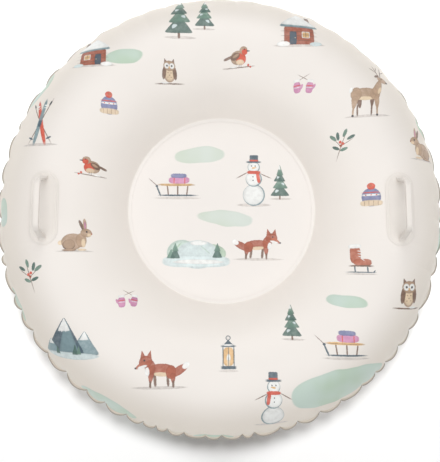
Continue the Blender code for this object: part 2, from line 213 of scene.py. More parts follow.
sectionRadius, sectionHeight, sectionLength, sectionPull = solveSection()
crest = int(np.argmax(sectionHeight))
flatRimRadius = seatRadius + float(sectionLength[-1])   # radius of the flat sheet at the rim


def skinPoint(x, y, lift):
    # A place on the upper skin, or above it
    radius = math.hypot(x, y)
    sine = 1 - sectionPull * (rimRadius ** 2 - radius ** 2) / 2
    height = float(np.interp(radius, sectionRadius[::-1], sectionHeight[::-1]))
    out = Vector((x / radius * sine, y / radius * sine, math.sqrt(1 - sine ** 2)))
    return Vector((x, y, midHeight + height)) + out * lift


# The puckers: the flat sheets have more edge than the round tube needs, so it gathers at the rim

puckerSettings = {
    "seed": 23,
    "lengthSpread": 0.50,     # how uneven the lobes are
    "longer": 0.32,           # how much longer they are where the rim is calm
    "calmBearing": 66,
    "arc": (0.110, 0.185),    # a lobe's sag for its length, where the rim is calm and where it is loose
    "arcSpread": (0.35, 1.2),
    "arcMost": 0.0085,
    "arcReach": (0.042, 0.020),
    "shingleReach": 0.005,    # how far up the skin one lobe's end stands over the next
    "swell": 0.36,            # share of the sag that stands out past the round
    "creaseDepth": (0.0003, 0.0018),
    "creaseWidth": 0.0028,
    "creaseSpread": 0.25,     # how much wider a crease gets for its length up the skin
    "creaseBlunt": 0.3,
    "creaseFade": 1.3,
    "creaseReach": (0.010, 0.026),
    "kick": 0.0026,
    "kickWidth": 0.008,
    "kickReach": 0.014,
    "wave": 0.0009,
    "bulge": 0.0030,
    "bulgePlace": 0.013,
    "bulgeWidth": 0.011,
    "calmShare": 0.8,         # what is left of these where the rim is calm
    "rippleTurn": 2.4,
    "ripplePitch": (18, 9),   # the slowest one, and how much quicker each next one is
}


def looseAt(angle):
    # 0 where the rim is calm, 1 where it gathers most
    return 1 - blendIn(-0.7, 0.6, np.cos(angle - math.radians(puckerSettings["calmBearing"])))


def drawPuckers():
    dice = np.random.default_rng(puckerSettings["seed"])
    bearing = 2 * math.pi * (np.arange(lobes) + 0.5) / lobes
    width = 1 + puckerSettings["lengthSpread"] * dice.uniform(-1, 1, lobes)
    width *= 1 + puckerSettings["longer"] * np.cos(bearing - math.radians(puckerSettings["calmBearing"]))
    width *= 2 * math.pi / width.sum()
    start = np.concatenate([[0], np.cumsum(width)[:-1]]) + 0.02
    lobe = np.arange(steps) // stepsPerLobe
    turn = -np.cos(math.pi * (np.arange(steps) % stepsPerLobe) / stepsPerLobe)
    calmArc, looseArc = puckerSettings["arc"]
    sag = width * rimRadius * (calmArc + (looseArc - calmArc) * looseAt(start + width / 2))
    arcs = [
        np.minimum(sag * dice.uniform(*puckerSettings["arcSpread"], lobes), puckerSettings["arcMost"])
        for _ in range(2)]
    return {
        "angle": start[lobe] + width[lobe] * (turn + 1) / 2,
        "turn": turn,
        "lobe": lobe,
        "before": (turn + 1) / 2 * width[lobe] * rimRadius,   # to the notch at either end
        "after": (1 - turn) / 2 * width[lobe] * rimRadius,
        "arcBefore": arcs[0],
        "arcAfter": arcs[1],
        "crease": dice.uniform(*puckerSettings["creaseDepth"], lobes),
        "creaseReach": dice.uniform(*puckerSettings["creaseReach"], lobes),
        "kick": dice.uniform(-1, 1, lobes) * puckerSettings["kick"],
        "wave": dice.uniform(0, 2 * math.pi, 6),
        "ripple": dice.uniform(0, 2 * math.pi, 8),
    }


puckers = drawPuckers()


def stepOf(points):
    # The step round the rim that each point of a ring belongs to
    bearing = np.arctan2(points[:, 1], points[:, 0])
    return np.round(bearing / (2 * math.pi) * steps).astype(int) % steps


def puckerAt(index, length):
    # How far the film is drawn in at a step round the rim and a length up the skin, and its rise
    lobe = puckers["lobe"][index]
    after = (lobe + 1) % lobes
    turn = puckers["turn"][index]
    angle = puckers["angle"][index]
    calmShare = puckerSettings["calmShare"]
    loose = calmShare + (1 - calmShare) * looseAt(angle)
    # Each notch has one sag, and at the very edge the lobe on either side has its own
    shingle = np.exp(-length / puckerSettings["shingleReach"])
    notchSag = (np.roll(puckers["arcAfter"], 1) + puckers["arcBefore"]) / 2
    sagBefore = notchSag[lobe] + (puckers["arcBefore"][lobe] - notchSag[lobe]) * shingle
    sagAfter = notchSag[after] + (puckers["arcAfter"][lobe] - notchSag[after]) * shingle
    sag = sagBefore + (sagAfter - sagBefore) * blendIn(-1, 1, turn)
    calmReach, looseReach = puckerSettings["arcReach"]
    reach = calmReach + (looseReach - calmReach) * looseAt(angle)
    depth = sag * (turn ** 2 - puckerSettings["swell"]) * np.exp(-length / reach)
    rise = 0
    for notch, distance in ((lobe, puckers["before"][index]), (after, puckers["after"][index])):
        wide = puckerSettings["creaseWidth"] + puckerSettings["creaseSpread"] * length
        blunt = puckerSettings["creaseBlunt"] * wide
        shape = np.exp(-(np.sqrt(distance ** 2 + blunt ** 2) - blunt) / wide)
        fade = np.exp(-(length / puckers["creaseReach"][notch]) ** puckerSettings["creaseFade"])
        depth = depth + puckers["crease"][notch] * shape * fade * loose
        kickShape = np.exp(-(distance / puckerSettings["kickWidth"]) ** 2)
        rise = rise + puckers["kick"][notch] * kickShape
    wave = sum(np.sin((5 + 4 * i) * angle + phase) for i, phase in enumerate(puckers["wave"])) / 3
    fade = np.exp(-length / puckerSettings["kickReach"])
    rise = (rise + puckerSettings["wave"] * wave) * fade * loose
    away = (length - puckerSettings["bulgePlace"]) / puckerSettings["bulgeWidth"]
    bulge = puckerSettings["bulge"] * (1 - turn ** 4) * np.exp(-away ** 2)
    return depth - bulge * loose, rise


def unevenness(x, y):
    # The slow unevenness of blown-up film
    total = 0
    slowest, quicker = puckerSettings["ripplePitch"]
    for i, phase in enumerate(puckers["ripple"]):
        heading = puckerSettings["rippleTurn"] * i + phase
        pitch = slowest + quicker * i
        total = total + np.sin(pitch * (x * math.cos(heading) + y * math.sin(heading)) + phase) / (1 + i)
    return total / 2


# Upper and lower skin

skinSettings = {
    "firstRing": 0.0012,
    "growth": 1.17,
    "lastRing": 0.0095,
    "weldFillet": 0.0035,
    "weldDips": ((0.35, 0.0001), (0.6, 0.0002), (0.8, 0.0001), (1.0, 0.0)),    # along the weld
    "unevenness": 0.00035,
    "seatFade": 0.03,
    "padFade": (0.001, 0.03),
    "padRipple": 0.0009,
    "padRipplePitch": 0.0100,
    "padRipplePhase": 2.4,
    "padRippleReach": 0.010,
    "padRippleStart": (0.001, 0.006),
    "padRippleEnds": (0.2, 0.8),
    "valveTilt": 35,
    "valveClear": (0.024, 0.048),
    "valveHole": 0.0135,
    "smoothAngle": 50,
}
handleSettings = {
    "radius": float(sectionRadius[crest]) + 0.0028,
    "shift": 0.012,
    "padLength": 0.140,
    "padWidth": 0.054,
    "padFilm": 0.0012,
    "plateRise": 0.0004,
    "outlineSteps": 28,       # round each end
    "sideSteps": 22,
    "gripWidth": 0.0112,
    "gripThickness": 0.0060,
    "gripHeight": 0.047,
    "barLength": 0.086,
    "gripPower": 3.6,         # how square the strap's section is
    "footEnd": 0.0602,
    "footRoot": 0.0549,
    "footBend": 0.006,
    "barBend": 0.014,
    "footSpread": 0.22,
    "footThinning": 0.62,
}
valveTilt = math.radians(skinSettings["valveTilt"])
valveSine = math.cos(valveTilt)
valveRadius = math.sqrt(rimRadius ** 2 - 2 * (1 - valveSine) / sectionPull)
valveSpot = Vector((
    0, valveRadius,
    midHeight - float(np.interp(valveRadius, sectionRadius[::-1], sectionHeight[::-1]))))
valveOut = Vector((0, valveSine, -math.sin(valveTilt)))
valveFrame = Matrix.Translation(valveSpot) @ Matrix(
    ((1, 0, 0), tuple(valveOut.cross(Vector((1, 0, 0)))), tuple(valveOut))).transposed().to_4x4()


def skinRings(film):
    # Radius, height over the middle, and length from the rim, of each ring of the outer face
    weldTop = tubeSettings["seatFilm"] / 2 + tubeSettings["gap"] + film
    rimEnd = tubeSettings["marginFilm"] / 2 + tubeSettings["gap"]
    first = float(np.interp(rimEnd, sectionHeight[:crest], sectionLength[:crest]))
    last = float(np.interp(-weldTop, -sectionHeight[crest:], sectionLength[crest:]))
    fillet = skinSettings["weldFillet"]
    lengths = [0.0]
    step = skinSettings["firstRing"]
    while lengths[-1] < last - fillet - first:
        lengths.append(lengths[-1] + step)
        step = min(step * skinSettings["growth"], skinSettings["lastRing"])
    lengths = first + np.array(lengths) * (last - fillet - first) / lengths[-1]
    rings = []
    for length in lengths:
        radius = float(np.interp(length, sectionLength, sectionRadius))
        height = float(np.interp(length, sectionLength, sectionHeight))
        rings.append((radius, height, float(length)))
    corner = (float(np.interp(last, sectionLength, sectionRadius)), weldTop)
    before = rings[-1]
    for share in (0.2, 0.4, 0.6, 0.8, 1.0):
        spots = ((before[0], before[1]), corner, (corner[0] - fillet, weldTop))
        weights = ((1 - share) ** 2, 2 * share * (1 - share), share ** 2)
        radius = sum(weight * spot[0] for weight, spot in zip(weights, spots))
        height = sum(weight * spot[1] for weight, spot in zip(weights, spots))
        rings.append((radius, height, last - fillet + 2 * fillet * share))
    lapEnd = seatRadius - tubeSettings["seatWeldWidth"]
    lapStart = corner[0] - fillet
    for share, dip in skinSettings["weldDips"]:
        radius = lapStart + (lapEnd - lapStart) * share
        rings.append((radius, weldTop - dip, last + fillet + lapStart - radius))
    return rings


def makeSkin(name, side):
    film = tubeSettings["upperFilm" if side > 0 else "lowerFilm"]
    rings = skinRings(film)
    piece = ringStack(name, [(r, midHeight + side * z) for r, z, _ in rings], steps)
    table = np.array(rings)
    tangent = np.gradient(table[:, :2], axis=0)
    tangent /= np.linalg.norm(tangent, axis=1)[:, None]
    points = places(piece)
    index = stepOf(points)
    spot = np.column_stack([np.hypot(points[:, 0], points[:, 1]), side * (points[:, 2] - midHeight)])
    ring = np.array([np.argmin(((table[:, :2] - p) ** 2).sum(1)) for p in spot])
    radius, height, length = table[ring].T
    angle = puckers["angle"][index]
    depth, rise = puckerAt(index, length)
    x, y = radius * np.cos(angle), radius * np.sin(angle)
    seatFade = blendIn(0, skinSettings["seatFade"], radius - seatRadius)
    lift = skinSettings["unevenness"] * unevenness(x * 1.3, y * 1.3 + side) * seatFade
    if side > 0:
        padX = np.abs(x) - handleSettings["radius"]
        padY = np.abs(y + handleSettings["shift"])
        endRadius = handleSettings["padWidth"] / 2
        straight = handleSettings["padLength"] / 2 - endRadius
        away = np.hypot(padX, np.maximum(padY - straight, 0)) - endRadius
        lift *= blendIn(*skinSettings["padFade"], away)
        atEnd = blendIn(*skinSettings["padRippleEnds"], (padY - straight) / (np.abs(away) + endRadius))
        swing = np.cos(2 * math.pi * away / skinSettings["padRipplePitch"] - skinSettings["padRipplePhase"])
        fade = np.exp(-away / skinSettings["padRippleReach"])
        ripple = swing * fade * blendIn(*skinSettings["padRippleStart"], away) * atEnd
        lift += skinSettings["padRipple"] * ripple
    else:
        spots = np.column_stack([x, y, midHeight - height]) - np.array(valveSpot)
        out = np.array(valveOut)
        away = np.linalg.norm(spots - np.outer(spots @ out, out), axis=1)
        away = np.where(y > 0, away, 1)
        clear = blendIn(*skinSettings["valveClear"], away)
        depth, rise, lift = depth * clear, rise * clear, lift * clear
    lift = lift - depth
    normalR, normalZ = tangent[ring, 1], -tangent[ring, 0]
    moved = np.column_stack([
        (radius + lift * normalR) * np.cos(angle),
        (radius + lift * normalR) * np.sin(angle),
        midHeight + side * (height + lift * normalZ) + rise])
    if side < 0:
        moved[:, 2] = np.maximum(moved[:, 2], 0)
    putBack(piece, moved)
    flat = np.where(length < sectionLength[-1], flatRimRadius - length, radius)
    keepFlat(piece, side * flat * np.cos(angle), flat * np.sin(angle), side)
    faceUp(piece, side > 0)
    if side < 0:
        hole = away < skinSettings["valveHole"]
        picked(piece)
        editing("DESELECT")
        finished()
        for polygon in piece.data.polygons:
            polygon.select = all(hole[v] for v in polygon.vertices)
        editing(None, "FACE")
        bpy.ops.mesh.delete(type="FACE")
        finished()
    applied(piece, "SOLIDIFY", thickness=film, offset=-1)
    smoothed(piece, skinSettings["smoothAngle"])
    return piece


upperSkin = makeSkin("upperSkin", 1)
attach(upperSkin, "tube")
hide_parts("upper_skin")
print("upper skin", len(upperSkin.data.polygons))
lowerSkin = makeSkin("lowerSkin", -1)
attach(lowerSkin, "tube")
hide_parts("lower_skin")
print("lower skin", len(lowerSkin.data.polygons))


# The welded margin round the rim

marginSettings = {
    "drawIn": 20,      # how much more the puckers move it for each metre out
    "kickOut": 40,
    "profile": (       # distance out from the rim, height over the middle
        (-0.0030, 0.0005), (-0.0024, 0.0007), (-0.0002, 0.0007), (0.0002, 0.0014),
        (0.0008, 0.0012), (0.0016, 0.0008), (0.0030, 0.0007), (0.0042, 0.0007),
        (0.0048, 0.0009), (0.0055, 0.0009), (0.0061, 0.0007), (0.0070, 0.0007),
        (0.0076, 0.0006), (0.0079, 0.0004), (0.0080, 0.0000)),
}


def makeMargin():
    profile = list(marginSettings["profile"])
    profile += [(d, -z) for d, z in reversed(profile[:-1])]
    rings = [(rimRadius + d, midHeight + z) for d, z in profile]
    piece = ringStack("rimWeld", rings, steps, closed=True)
    points = places(piece)
    index = stepOf(points)
    out = np.hypot(points[:, 0], points[:, 1]) - rimRadius
    depth, rise = puckerAt(index, np.zeros(len(index)))
    angle = puckers["angle"][index]
    beyond = np.maximum(out, 0)
    radius = rimRadius + out - depth * (1 + marginSettings["drawIn"] * beyond)
    height = points[:, 2] + rise * (1 + marginSettings["kickOut"] * beyond)
    putBack(piece, np.column_stack([radius * np.cos(angle), radius * np.sin(angle), height]))
    flat = flatRimRadius + out
    face = np.sign(points[:, 2] - midHeight + 1e-7)     # the outermost ring counts as upper
    keepFlat(piece, flat * np.cos(angle), flat * np.sin(angle), face)
    smoothed(piece, skinSettings["smoothAngle"])
    return piece


rimWeld = makeMargin()
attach(rimWeld, "tube")
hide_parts("rim_seam")
print("rim weld", len(rimWeld.data.polygons))


# The seat

seatSettings = {
    "steps": 192,
    "ringWidth": 0.0050,
    "edgeWidth": 0.0005,
    "lastRing": 0.0015,
    "unevenness": 0.0002,
    "flatOutside": (0.182, 0.14),
}


def makeSeat():
    radii = [seatRadius, seatRadius - seatSettings["edgeWidth"]]
    while radii[-1] > 2 * seatSettings["ringWidth"]:
        radii.append(radii[-1] - seatSettings["ringWidth"])
    radii.append(seatSettings["lastRing"])
    piece = ringStack("seatPanel", [(r, midHeight) for r in radii], seatSettings["steps"], pole=True)
    points = places(piece)
    inner = blendIn(*seatSettings["flatOutside"], np.hypot(points[:, 0], points[:, 1]))
    points[:, 2] += seatSettings["unevenness"] * unevenness(points[:, 0], points[:, 1]) * inner
    putBack(piece, points)
    faceUp(piece)
    keepFlat(piece, points[:, 0], points[:, 1], 1)
    applied(piece, "SOLIDIFY", thickness=tubeSettings["seatFilm"], offset=0)
    smoothed(piece)
    return piece


seatPanel = makeSeat()
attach(seatPanel, "tube")
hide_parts("seat_panel")
print("seat", len(seatPanel.data.polygons))


# The handles: an embossed pad, and a strap with two flared feet that stands on it

def handleFrame(side):
    spot = skinPoint(side * handleSettings["radius"], -handleSettings["shift"], 0)
    up = (skinPoint(side * handleSettings["radius"], -handleSettings["shift"], 0.1) - spot).normalized()
    along = Vector((0, side, 0))
    out = along.cross(up).normalized()
    return Matrix.Translation(spot) @ Matrix((out, up.cross(out), up)).transposed().to_4x4()


def padOutline():
    radius = handleSettings["padWidth"] / 2
    straight = handleSettings["padLength"] / 2 - radius
    points = []
    for end in (1, -1):
        for i in range(handleSettings["outlineSteps"] + 1):
            angle = math.pi * i / handleSettings["outlineSteps"]
            points.append((end * radius * math.cos(angle), end * (straight + radius * math.sin(angle))))
        for i in range(1, handleSettings["sideSteps"]):
            points.append((-end * radius, end * straight * (1 - 2 * i / handleSettings["sideSteps"])))
    return points


padProfile = (       # distance in from the edge, and rise
    (0.0, -0.0003), (0.0004, 0.0), (0.0018, 0.0001), (0.0025, 0.0001), (0.0032, 0.0005),
    (0.0040, 0.0008), (0.0050, 0.0008), (0.0057, 0.0006), (0.0062, 0.0004), (0.0068, 0.0006),
    (0.0074, 0.0007), (0.0080, 0.0006), (0.0087, 0.0004), (0.0094, 0.0004), (0.0140, 0.0004),
    (0.0200, 0.0004), (0.0255, 0.0004))


def makePad(name, side):
    deselectAll()
    outline = padOutline()
    bpy.ops.mesh.primitive_circle_add(vertices=len(outline), radius=1, fill_type="NOTHING")
    piece = named(name)
    edge = sorted(range(len(outline)), key=lambda i: math.atan2(*reversed(piece.data.vertices[i].co[:2])))
    ordered = sorted(outline, key=lambda p: math.atan2(p[1], p[0]))
    for i, (x, y) in zip(edge, ordered):
        piece.data.vertices[i].co = (x, y, 0)
    editing()
    straight = (handleSettings["padLength"] - handleSettings["padWidth"]) / 2
    radius = handleSettings["padWidth"] / 2
    ringStep = 0.001
    for _ in padProfile[1:]:
        extrudeBy((0, 0, ringStep))
    bpy.ops.mesh.edge_face_add()
    finished()
    # Each ring is set in by its own distance, then laid on the skin with its rise
    points = places(piece)
    level = np.round(points[:, 2] / ringStep).astype(int)
    for i, (x, y, _) in enumerate(points):
        inset, rise = padProfile[level[i]]
        spine = max(-straight, min(straight, y))
        away = math.hypot(x, y - spine)
        share = (radius - inset) / radius
        x, y = x * share, spine + (y - spine) * share
        points[i] = skinPoint(
            side * (handleSettings["radius"] + x), -handleSettings["shift"] + side * y,
            tubeSettings["gap"] + max(rise, 0))
    putBack(piece, points)
    outwards()
    faceUp(piece)
    applied(piece, "SOLIDIFY", thickness=handleSettings["padFilm"], offset=1)
    smoothed(piece)
    return piece


def makeGrip(name, side):
    # A rounded bar's cross-section is run up one leg and over half the bar, then mirrored
    width, thick = handleSettings["gripWidth"] / 2, handleSettings["gripThickness"] / 2
    low = thick
    high = handleSettings["gripHeight"] - thick
    bar = handleSettings["barLength"] / 2
    foot, root = handleSettings["footEnd"], handleSettings["footRoot"]
    rise = math.atan2(high - low, root - bar)
    footBend, barBend = handleSettings["footBend"], handleSettings["barBend"]
    deselectAll()
    bpy.ops.mesh.primitive_circle_add(vertices=32, radius=1, fill_type="NGON", rotation=(math.pi / 2, 0, 0))
    piece = named(name)
    bpy.ops.object.transform_apply(location=False, rotation=True, scale=False)
    points = places(piece)
    angle = np.arctan2(points[:, 2], points[:, 0])
    out = superellipse(angle, handleSettings["gripPower"])
    putBack(piece, np.column_stack([
        width * out * np.cos(angle), np.full(len(points), -foot), low + thick * out * np.sin(angle)]))
    editing()

    def spin(count, angle, centre):
        bpy.ops.mesh.spin(steps=count, angle=-angle, center=centre, axis=(1, 0, 0))

    tangent = footBend * math.tan(rise / 2)
    extrudeBy((0, (foot - root - tangent) / 2, 0))
    extrudeBy((0, (foot - root - tangent) / 2, 0))
    spin(7, rise, (0, -root - tangent, low + footBend))
    legLength = math.hypot(high - low, root - bar) - tangent - barBend * math.tan(rise / 2)
    heading = Vector((0, math.cos(rise), math.sin(rise)))
    for _ in range(4):
        extrudeBy(heading * legLength / 4)
    tangent = barBend * math.tan(rise / 2)
    spin(10, -rise, (0, -bar + tangent, high - barBend))
    for _ in range(5):
        extrudeBy((0, (bar - tangent) / 5, 0))
    bpy.ops.mesh.delete(type="FACE")
    finished()
    points = places(piece)
    # The feet spread a little where they are welded down
    atFoot = blendIn(0.016, 0.002, points[:, 2]) * blendIn(0.045, 0.054, -points[:, 1])
    points[:, 0] *= 1 + handleSettings["footSpread"] * atFoot
    atTip = blendIn(0.0545, foot, -points[:, 1]) * (points[:, 2] < 0.012)
    points[:, 2] *= 1 - handleSettings["footThinning"] * atTip
    putBack(piece, points)
    outwards()
    applied(piece, "MIRROR", use_axis=(False, True, False), use_clip=True, merge_threshold=0.0001)
    stand = 2 * tubeSettings["gap"] + handleSettings["padFilm"] + handleSettings["plateRise"]
    piece.data.transform(handleFrame(side) @ Matrix.Translation((0, 0, stand)))
    smoothed(piece, skinSettings["smoothAngle"])
    return piece


for label, side in (("left", -1), ("right", 1)):
    pad = makePad(label + "HandlePad", side)
    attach(pad, "tube")
    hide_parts(label + "_handle_pad")
    grip = makeGrip(label + "HandleGrip", side)
    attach(grip, "tube")
    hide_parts(label + "_handle_grip")
print("handles")


# The valve in the lower skin: a welded disc with its collar, the neck, the plug and its tether

valveSettings = {
    "steps": 64,
    "saddleFade": (0.0102, 0.0122),
    "flange": (       # radius and height over the skin
        (0.0078, -0.0100), (0.0098, -0.0100), (0.0098, -0.0012), (0.0104, 0.0000), (0.0118, 0.0003),
        (0.0206, 0.0003), (0.0210, 0.0005), (0.0210, 0.0008), (0.0206, 0.0010), (0.0196, 0.0011),
        (0.0190, 0.0015), (0.0182, 0.0015), (0.0176, 0.0011), (0.0168, 0.0011), (0.0162, 0.0014),
        (0.0155, 0.0014), (0.0149, 0.0011), (0.0128, 0.0011), (0.0118, 0.0015), (0.0081, 0.0015),
        (0.0078, 0.0012)),
    "neck": (
        (0.0045, 0.0041), (0.0050, 0.0046), (0.0086, 0.0046), (0.0091, 0.0043), (0.0092, 0.0038),
        (0.0091, 0.0034), (0.0087, 0.0031), (0.0075, 0.0030), (0.0075, -0.0223), (0.0088, -0.0223),
        (0.0092, -0.0226), (0.0092, -0.0234), (0.0088, -0.0237), (0.0049, -0.0237), (0.0045, -0.0233)),
    "plug": (
        (0.0012, 0.0067), (0.0062, 0.0069), (0.0068, 0.0066), (0.0074, 0.0069), (0.0084, 0.0068),
        (0.0092, 0.0064), (0.0095, 0.0059), (0.0094, 0.0053), (0.0090, 0.0049), (0.0046, 0.0049),
        (0.0042, 0.0045), (0.0042, 0.0016), (0.0044, 0.0012), (0.0044, 0.0008), (0.0042, 0.0004),
        (0.0042, -0.0014), (0.0044, -0.0018), (0.0044, -0.0022), (0.0041, -0.0026), (0.0034, -0.0034)),
    "tabStart": 0.0080,
    "tabEnd": 0.0140,
    "tabWidth": 0.0070,
    "tabThickness": 0.0008,
    "tabHeight": 0.0059,
    "tabCorner": 0.0033,
    "tabEdge": 0.00018,
    "ribs": 3,
    "ribStart": 0.0102,
    "ribPitch": 0.0011,
    "ribSize": (0.0004, 0.0046),
    "ribRise": 0.0005,
    "ribEdge": 0.00015,
    "tetherRing": (
        (0.0079, 0.0019), (0.0081, 0.0018), (0.0098, 0.0018), (0.0100, 0.0020), (0.0100, 0.0026),
        (0.0098, 0.0028), (0.0081, 0.0028), (0.0079, 0.0027)),
    "strapWidth": 0.0040,
    "strapThickness": 0.0010,
    "strapStart": 0.0092,
    "strapBend": 0.0164,
    "strapEnd": 0.0092,
    "strapLevels": (0.0023, 0.0064),
    "strapPower": 5,
}


def joined(piece, *others):
    picked(piece, *others)
    bpy.ops.object.join()
    return piece


def ontoValve(piece, node):
    piece.data.transform(valveFrame)
    smoothed(piece, 35)
    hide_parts(node)
    return piece


def valveRings(name, key, **settings):
    return ringStack(name, list(valveSettings[key]), valveSettings["steps"], **settings)


def makeFlange():
    # The disc follows the skin, which curves across and along the tube
    piece = valveRings("valveFlange", "flange", closed=True)
    points = places(piece)
    across, along = valveSine / valveRadius, sectionPull * valveRadius
    sag = (across * points[:, 0] ** 2 + along * points[:, 1] ** 2) / 2
    outer = np.hypot(points[:, 0], points[:, 1])
    points[:, 2] -= sag * blendIn(*valveSettings["saddleFade"], outer)
    putBack(piece, points)
    return ontoValve(piece, "valve_flange")


def makeNeck():
    return ontoValve(valveRings("valveNeck", "neck", closed=True), "valve_neck")


def bevelled(width, segments):
    bpy.ops.mesh.select_all(action="SELECT")
    bpy.ops.mesh.bevel(offset=width, segments=segments)


def valveBar(name, x, size):
    deselectAll()
    bpy.ops.mesh.primitive_cube_add(size=1, location=(x, 0, valveSettings["tabHeight"]), scale=size)
    bar = named(name)
    bpy.ops.object.transform_apply(location=True, rotation=False, scale=True)
    return bar


def makePlug():
    piece = valveRings("valvePlug", "plug", pole=True)
    editing("DESELECT")
    bpy.ops.mesh.select_non_manifold()
    bpy.ops.mesh.edge_face_add()
    bpy.ops.mesh.select_all(action="SELECT")
    bpy.ops.mesh.normals_make_consistent(inside=False)
    finished()
    # The tab: a flat tongue with a round end and three ribs for the fingers
    inner, thick = valveSettings["tabStart"], valveSettings["tabThickness"]
    length = valveSettings["tabEnd"] - inner
    middle = -inner - length / 2
    tab = valveBar("valveTab", middle, (length, valveSettings["tabWidth"], thick))
    for edge in tab.data.edges:
        ends = [tab.data.vertices[v].co for v in edge.vertices]
        upright = abs(ends[0].z - ends[1].z) > thick / 2
        edge.select = upright and all(end.x < middle for end in ends)
    for polygon in tab.data.polygons:
        polygon.select = False
    editing(None, "EDGE")
    bpy.ops.mesh.bevel(offset=valveSettings["tabCorner"], segments=8)
    bevelled(valveSettings["tabEdge"], 2)
    finished()
    ribs = []
    for number in range(valveSettings["ribs"]):
        x = -valveSettings["ribStart"] - valveSettings["ribPitch"] * number
        ribs.append(valveBar("valveRib", x, (*valveSettings["ribSize"], thick + valveSettings["ribRise"])))
        editing()
        bevelled(valveSettings["ribEdge"], 2)
        finished()
    return ontoValve(joined(piece, tab, *ribs), "valve_plug")


def makeTether():
    piece = valveRings("valveTether", "tetherRing", closed=True)
    low, high = valveSettings["strapLevels"]
    width, thick = valveSettings["strapWidth"] / 2, valveSettings["strapThickness"] / 2
    deselectAll()
    bpy.ops.mesh.primitive_circle_add(vertices=16, radius=1, fill_type="NGON", rotation=(0, math.pi / 2, 0))
    strap = named("valveStrap")
    bpy.ops.object.transform_apply(location=False, rotation=True, scale=False)
    points = places(strap)
    angle = np.arctan2(points[:, 2], points[:, 1])
    out = superellipse(angle, valveSettings["strapPower"])
    putBack(strap, np.column_stack([
        np.full(len(points), valveSettings["strapStart"]),
        width * out * np.cos(angle), low + thick * out * np.sin(angle)]))
    editing()
    run = (valveSettings["strapBend"] - valveSettings["strapStart"]) / 4
    for _ in range(4):
        extrudeBy((run, 0, 0))
    bpy.ops.mesh.spin(
        steps=14, angle=math.pi, center=(valveSettings["strapBend"], 0, (low + high) / 2), axis=(0, 1, 0))
    back = (valveSettings["strapBend"] - valveSettings["strapEnd"]) / 4
    for _ in range(4):
        extrudeBy((-back, 0, 0))
    bpy.ops.mesh.select_all(action="SELECT")
    bpy.ops.mesh.normals_make_consistent(inside=False)
    finished()
    return ontoValve(joined(piece, strap), "valve_tether")


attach(makeFlange(), "tube")
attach(makeNeck(), "valve_neck")
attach(makePlug(), "valve_plug")
valveTether = makeTether()
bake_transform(valveTether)
print("valve")


# Finishes

class Wire:
    # One socket, with the sums that shaders need
    tree = None

    def __init__(self, socket):
        self.socket = socket

    @classmethod
    def node(cls, kind, settings=None, values=None, output=0):
        # output None gives all of the node's outputs by name
        made = cls.tree.nodes.new(kind)
        for key, value in (settings or {}).items():
            setattr(made, key, value)
        for key, value in (values or {}).items():
            if isinstance(value, Wire):
                cls.tree.links.new(value.socket, made.inputs[key])
            else:
                made.inputs[key].default_value = value
        if output is None:
            return {socket.name: Wire(socket) for socket in made.outputs}
        return Wire(made.outputs[output])

    def split(self):
        parts = Wire.node("ShaderNodeSeparateXYZ", {}, {0: self}, None)
        return [parts[axis] for axis in "XYZ"]

    def times(self, share):
        # A colour times a number
        return Wire.node("ShaderNodeVectorMath", {"operation": "SCALE"}, {0: self, "Scale": share})

    def maths(self, operation, *others):
        settings = {"operation": operation}
        return Wire.node("ShaderNodeMath", settings, dict(enumerate((self, *others))))

    def __add__(self, other):
        return self.maths("ADD", other)

    def __sub__(self, other):
        return self.maths("SUBTRACT", other)

    def __rsub__(self, other):
        return Wire.node("ShaderNodeMath", {"operation": "SUBTRACT"}, {0: other, 1: self})

    def __mul__(self, other):
        return self.maths("MULTIPLY", other)

    def __truediv__(self, other):
        return self.maths("DIVIDE", other)

    def __pow__(self, other):
        return self.maths("POWER", other)

    def __rtruediv__(self, other):
        return Wire.node("ShaderNodeMath", {"operation": "DIVIDE"}, {0: other, 1: self})

    __radd__, __rmul__ = __add__, __mul__

    def smooth(self, low, high):
        return Wire.node(
            "ShaderNodeMapRange", {"interpolation_type": "SMOOTHSTEP"},
            {"Value": self, "From Min": low, "From Max": high})

    def mixed(self, first, second):
        # self picks between two colours
        ends = [end if isinstance(end, Wire) else (*end[:3], 1) for end in (first, second)]
        return Wire.node("ShaderNodeMix", {"data_type": "RGBA"}, dict(zip((0, 6, 7), (self, *ends))), 2)


def noise(place, scale, detail, output=0, roughness=0.5):
    values = {"Vector": place, "Scale": scale, "Detail": detail, "Roughness": roughness}
    return Wire.node("ShaderNodeTexNoise", {}, values, output)


def stored(name, output=None):
    return Wire.node("ShaderNodeAttribute", {"attribute_name": name}, {}, output)


def grained(place, scale, strength):
    values = {"Height": noise(place, scale, 2), "Strength": strength, "Distance": 0.0002}
    return Wire.node("ShaderNodeBump", {}, values)


def connect(shader, values):
    for key, value in values.items():
        Wire.tree.links.new(value.socket, shader.inputs[key])


def newMaterial(name):
    material = bpy.data.materials.new(name)
    material.use_nodes = True
    Wire.tree = material.node_tree
    return material, material.node_tree.nodes["Principled BSDF"]


def dress(piece, material):
    piece.data.materials.clear()
    piece.data.materials.append(material)


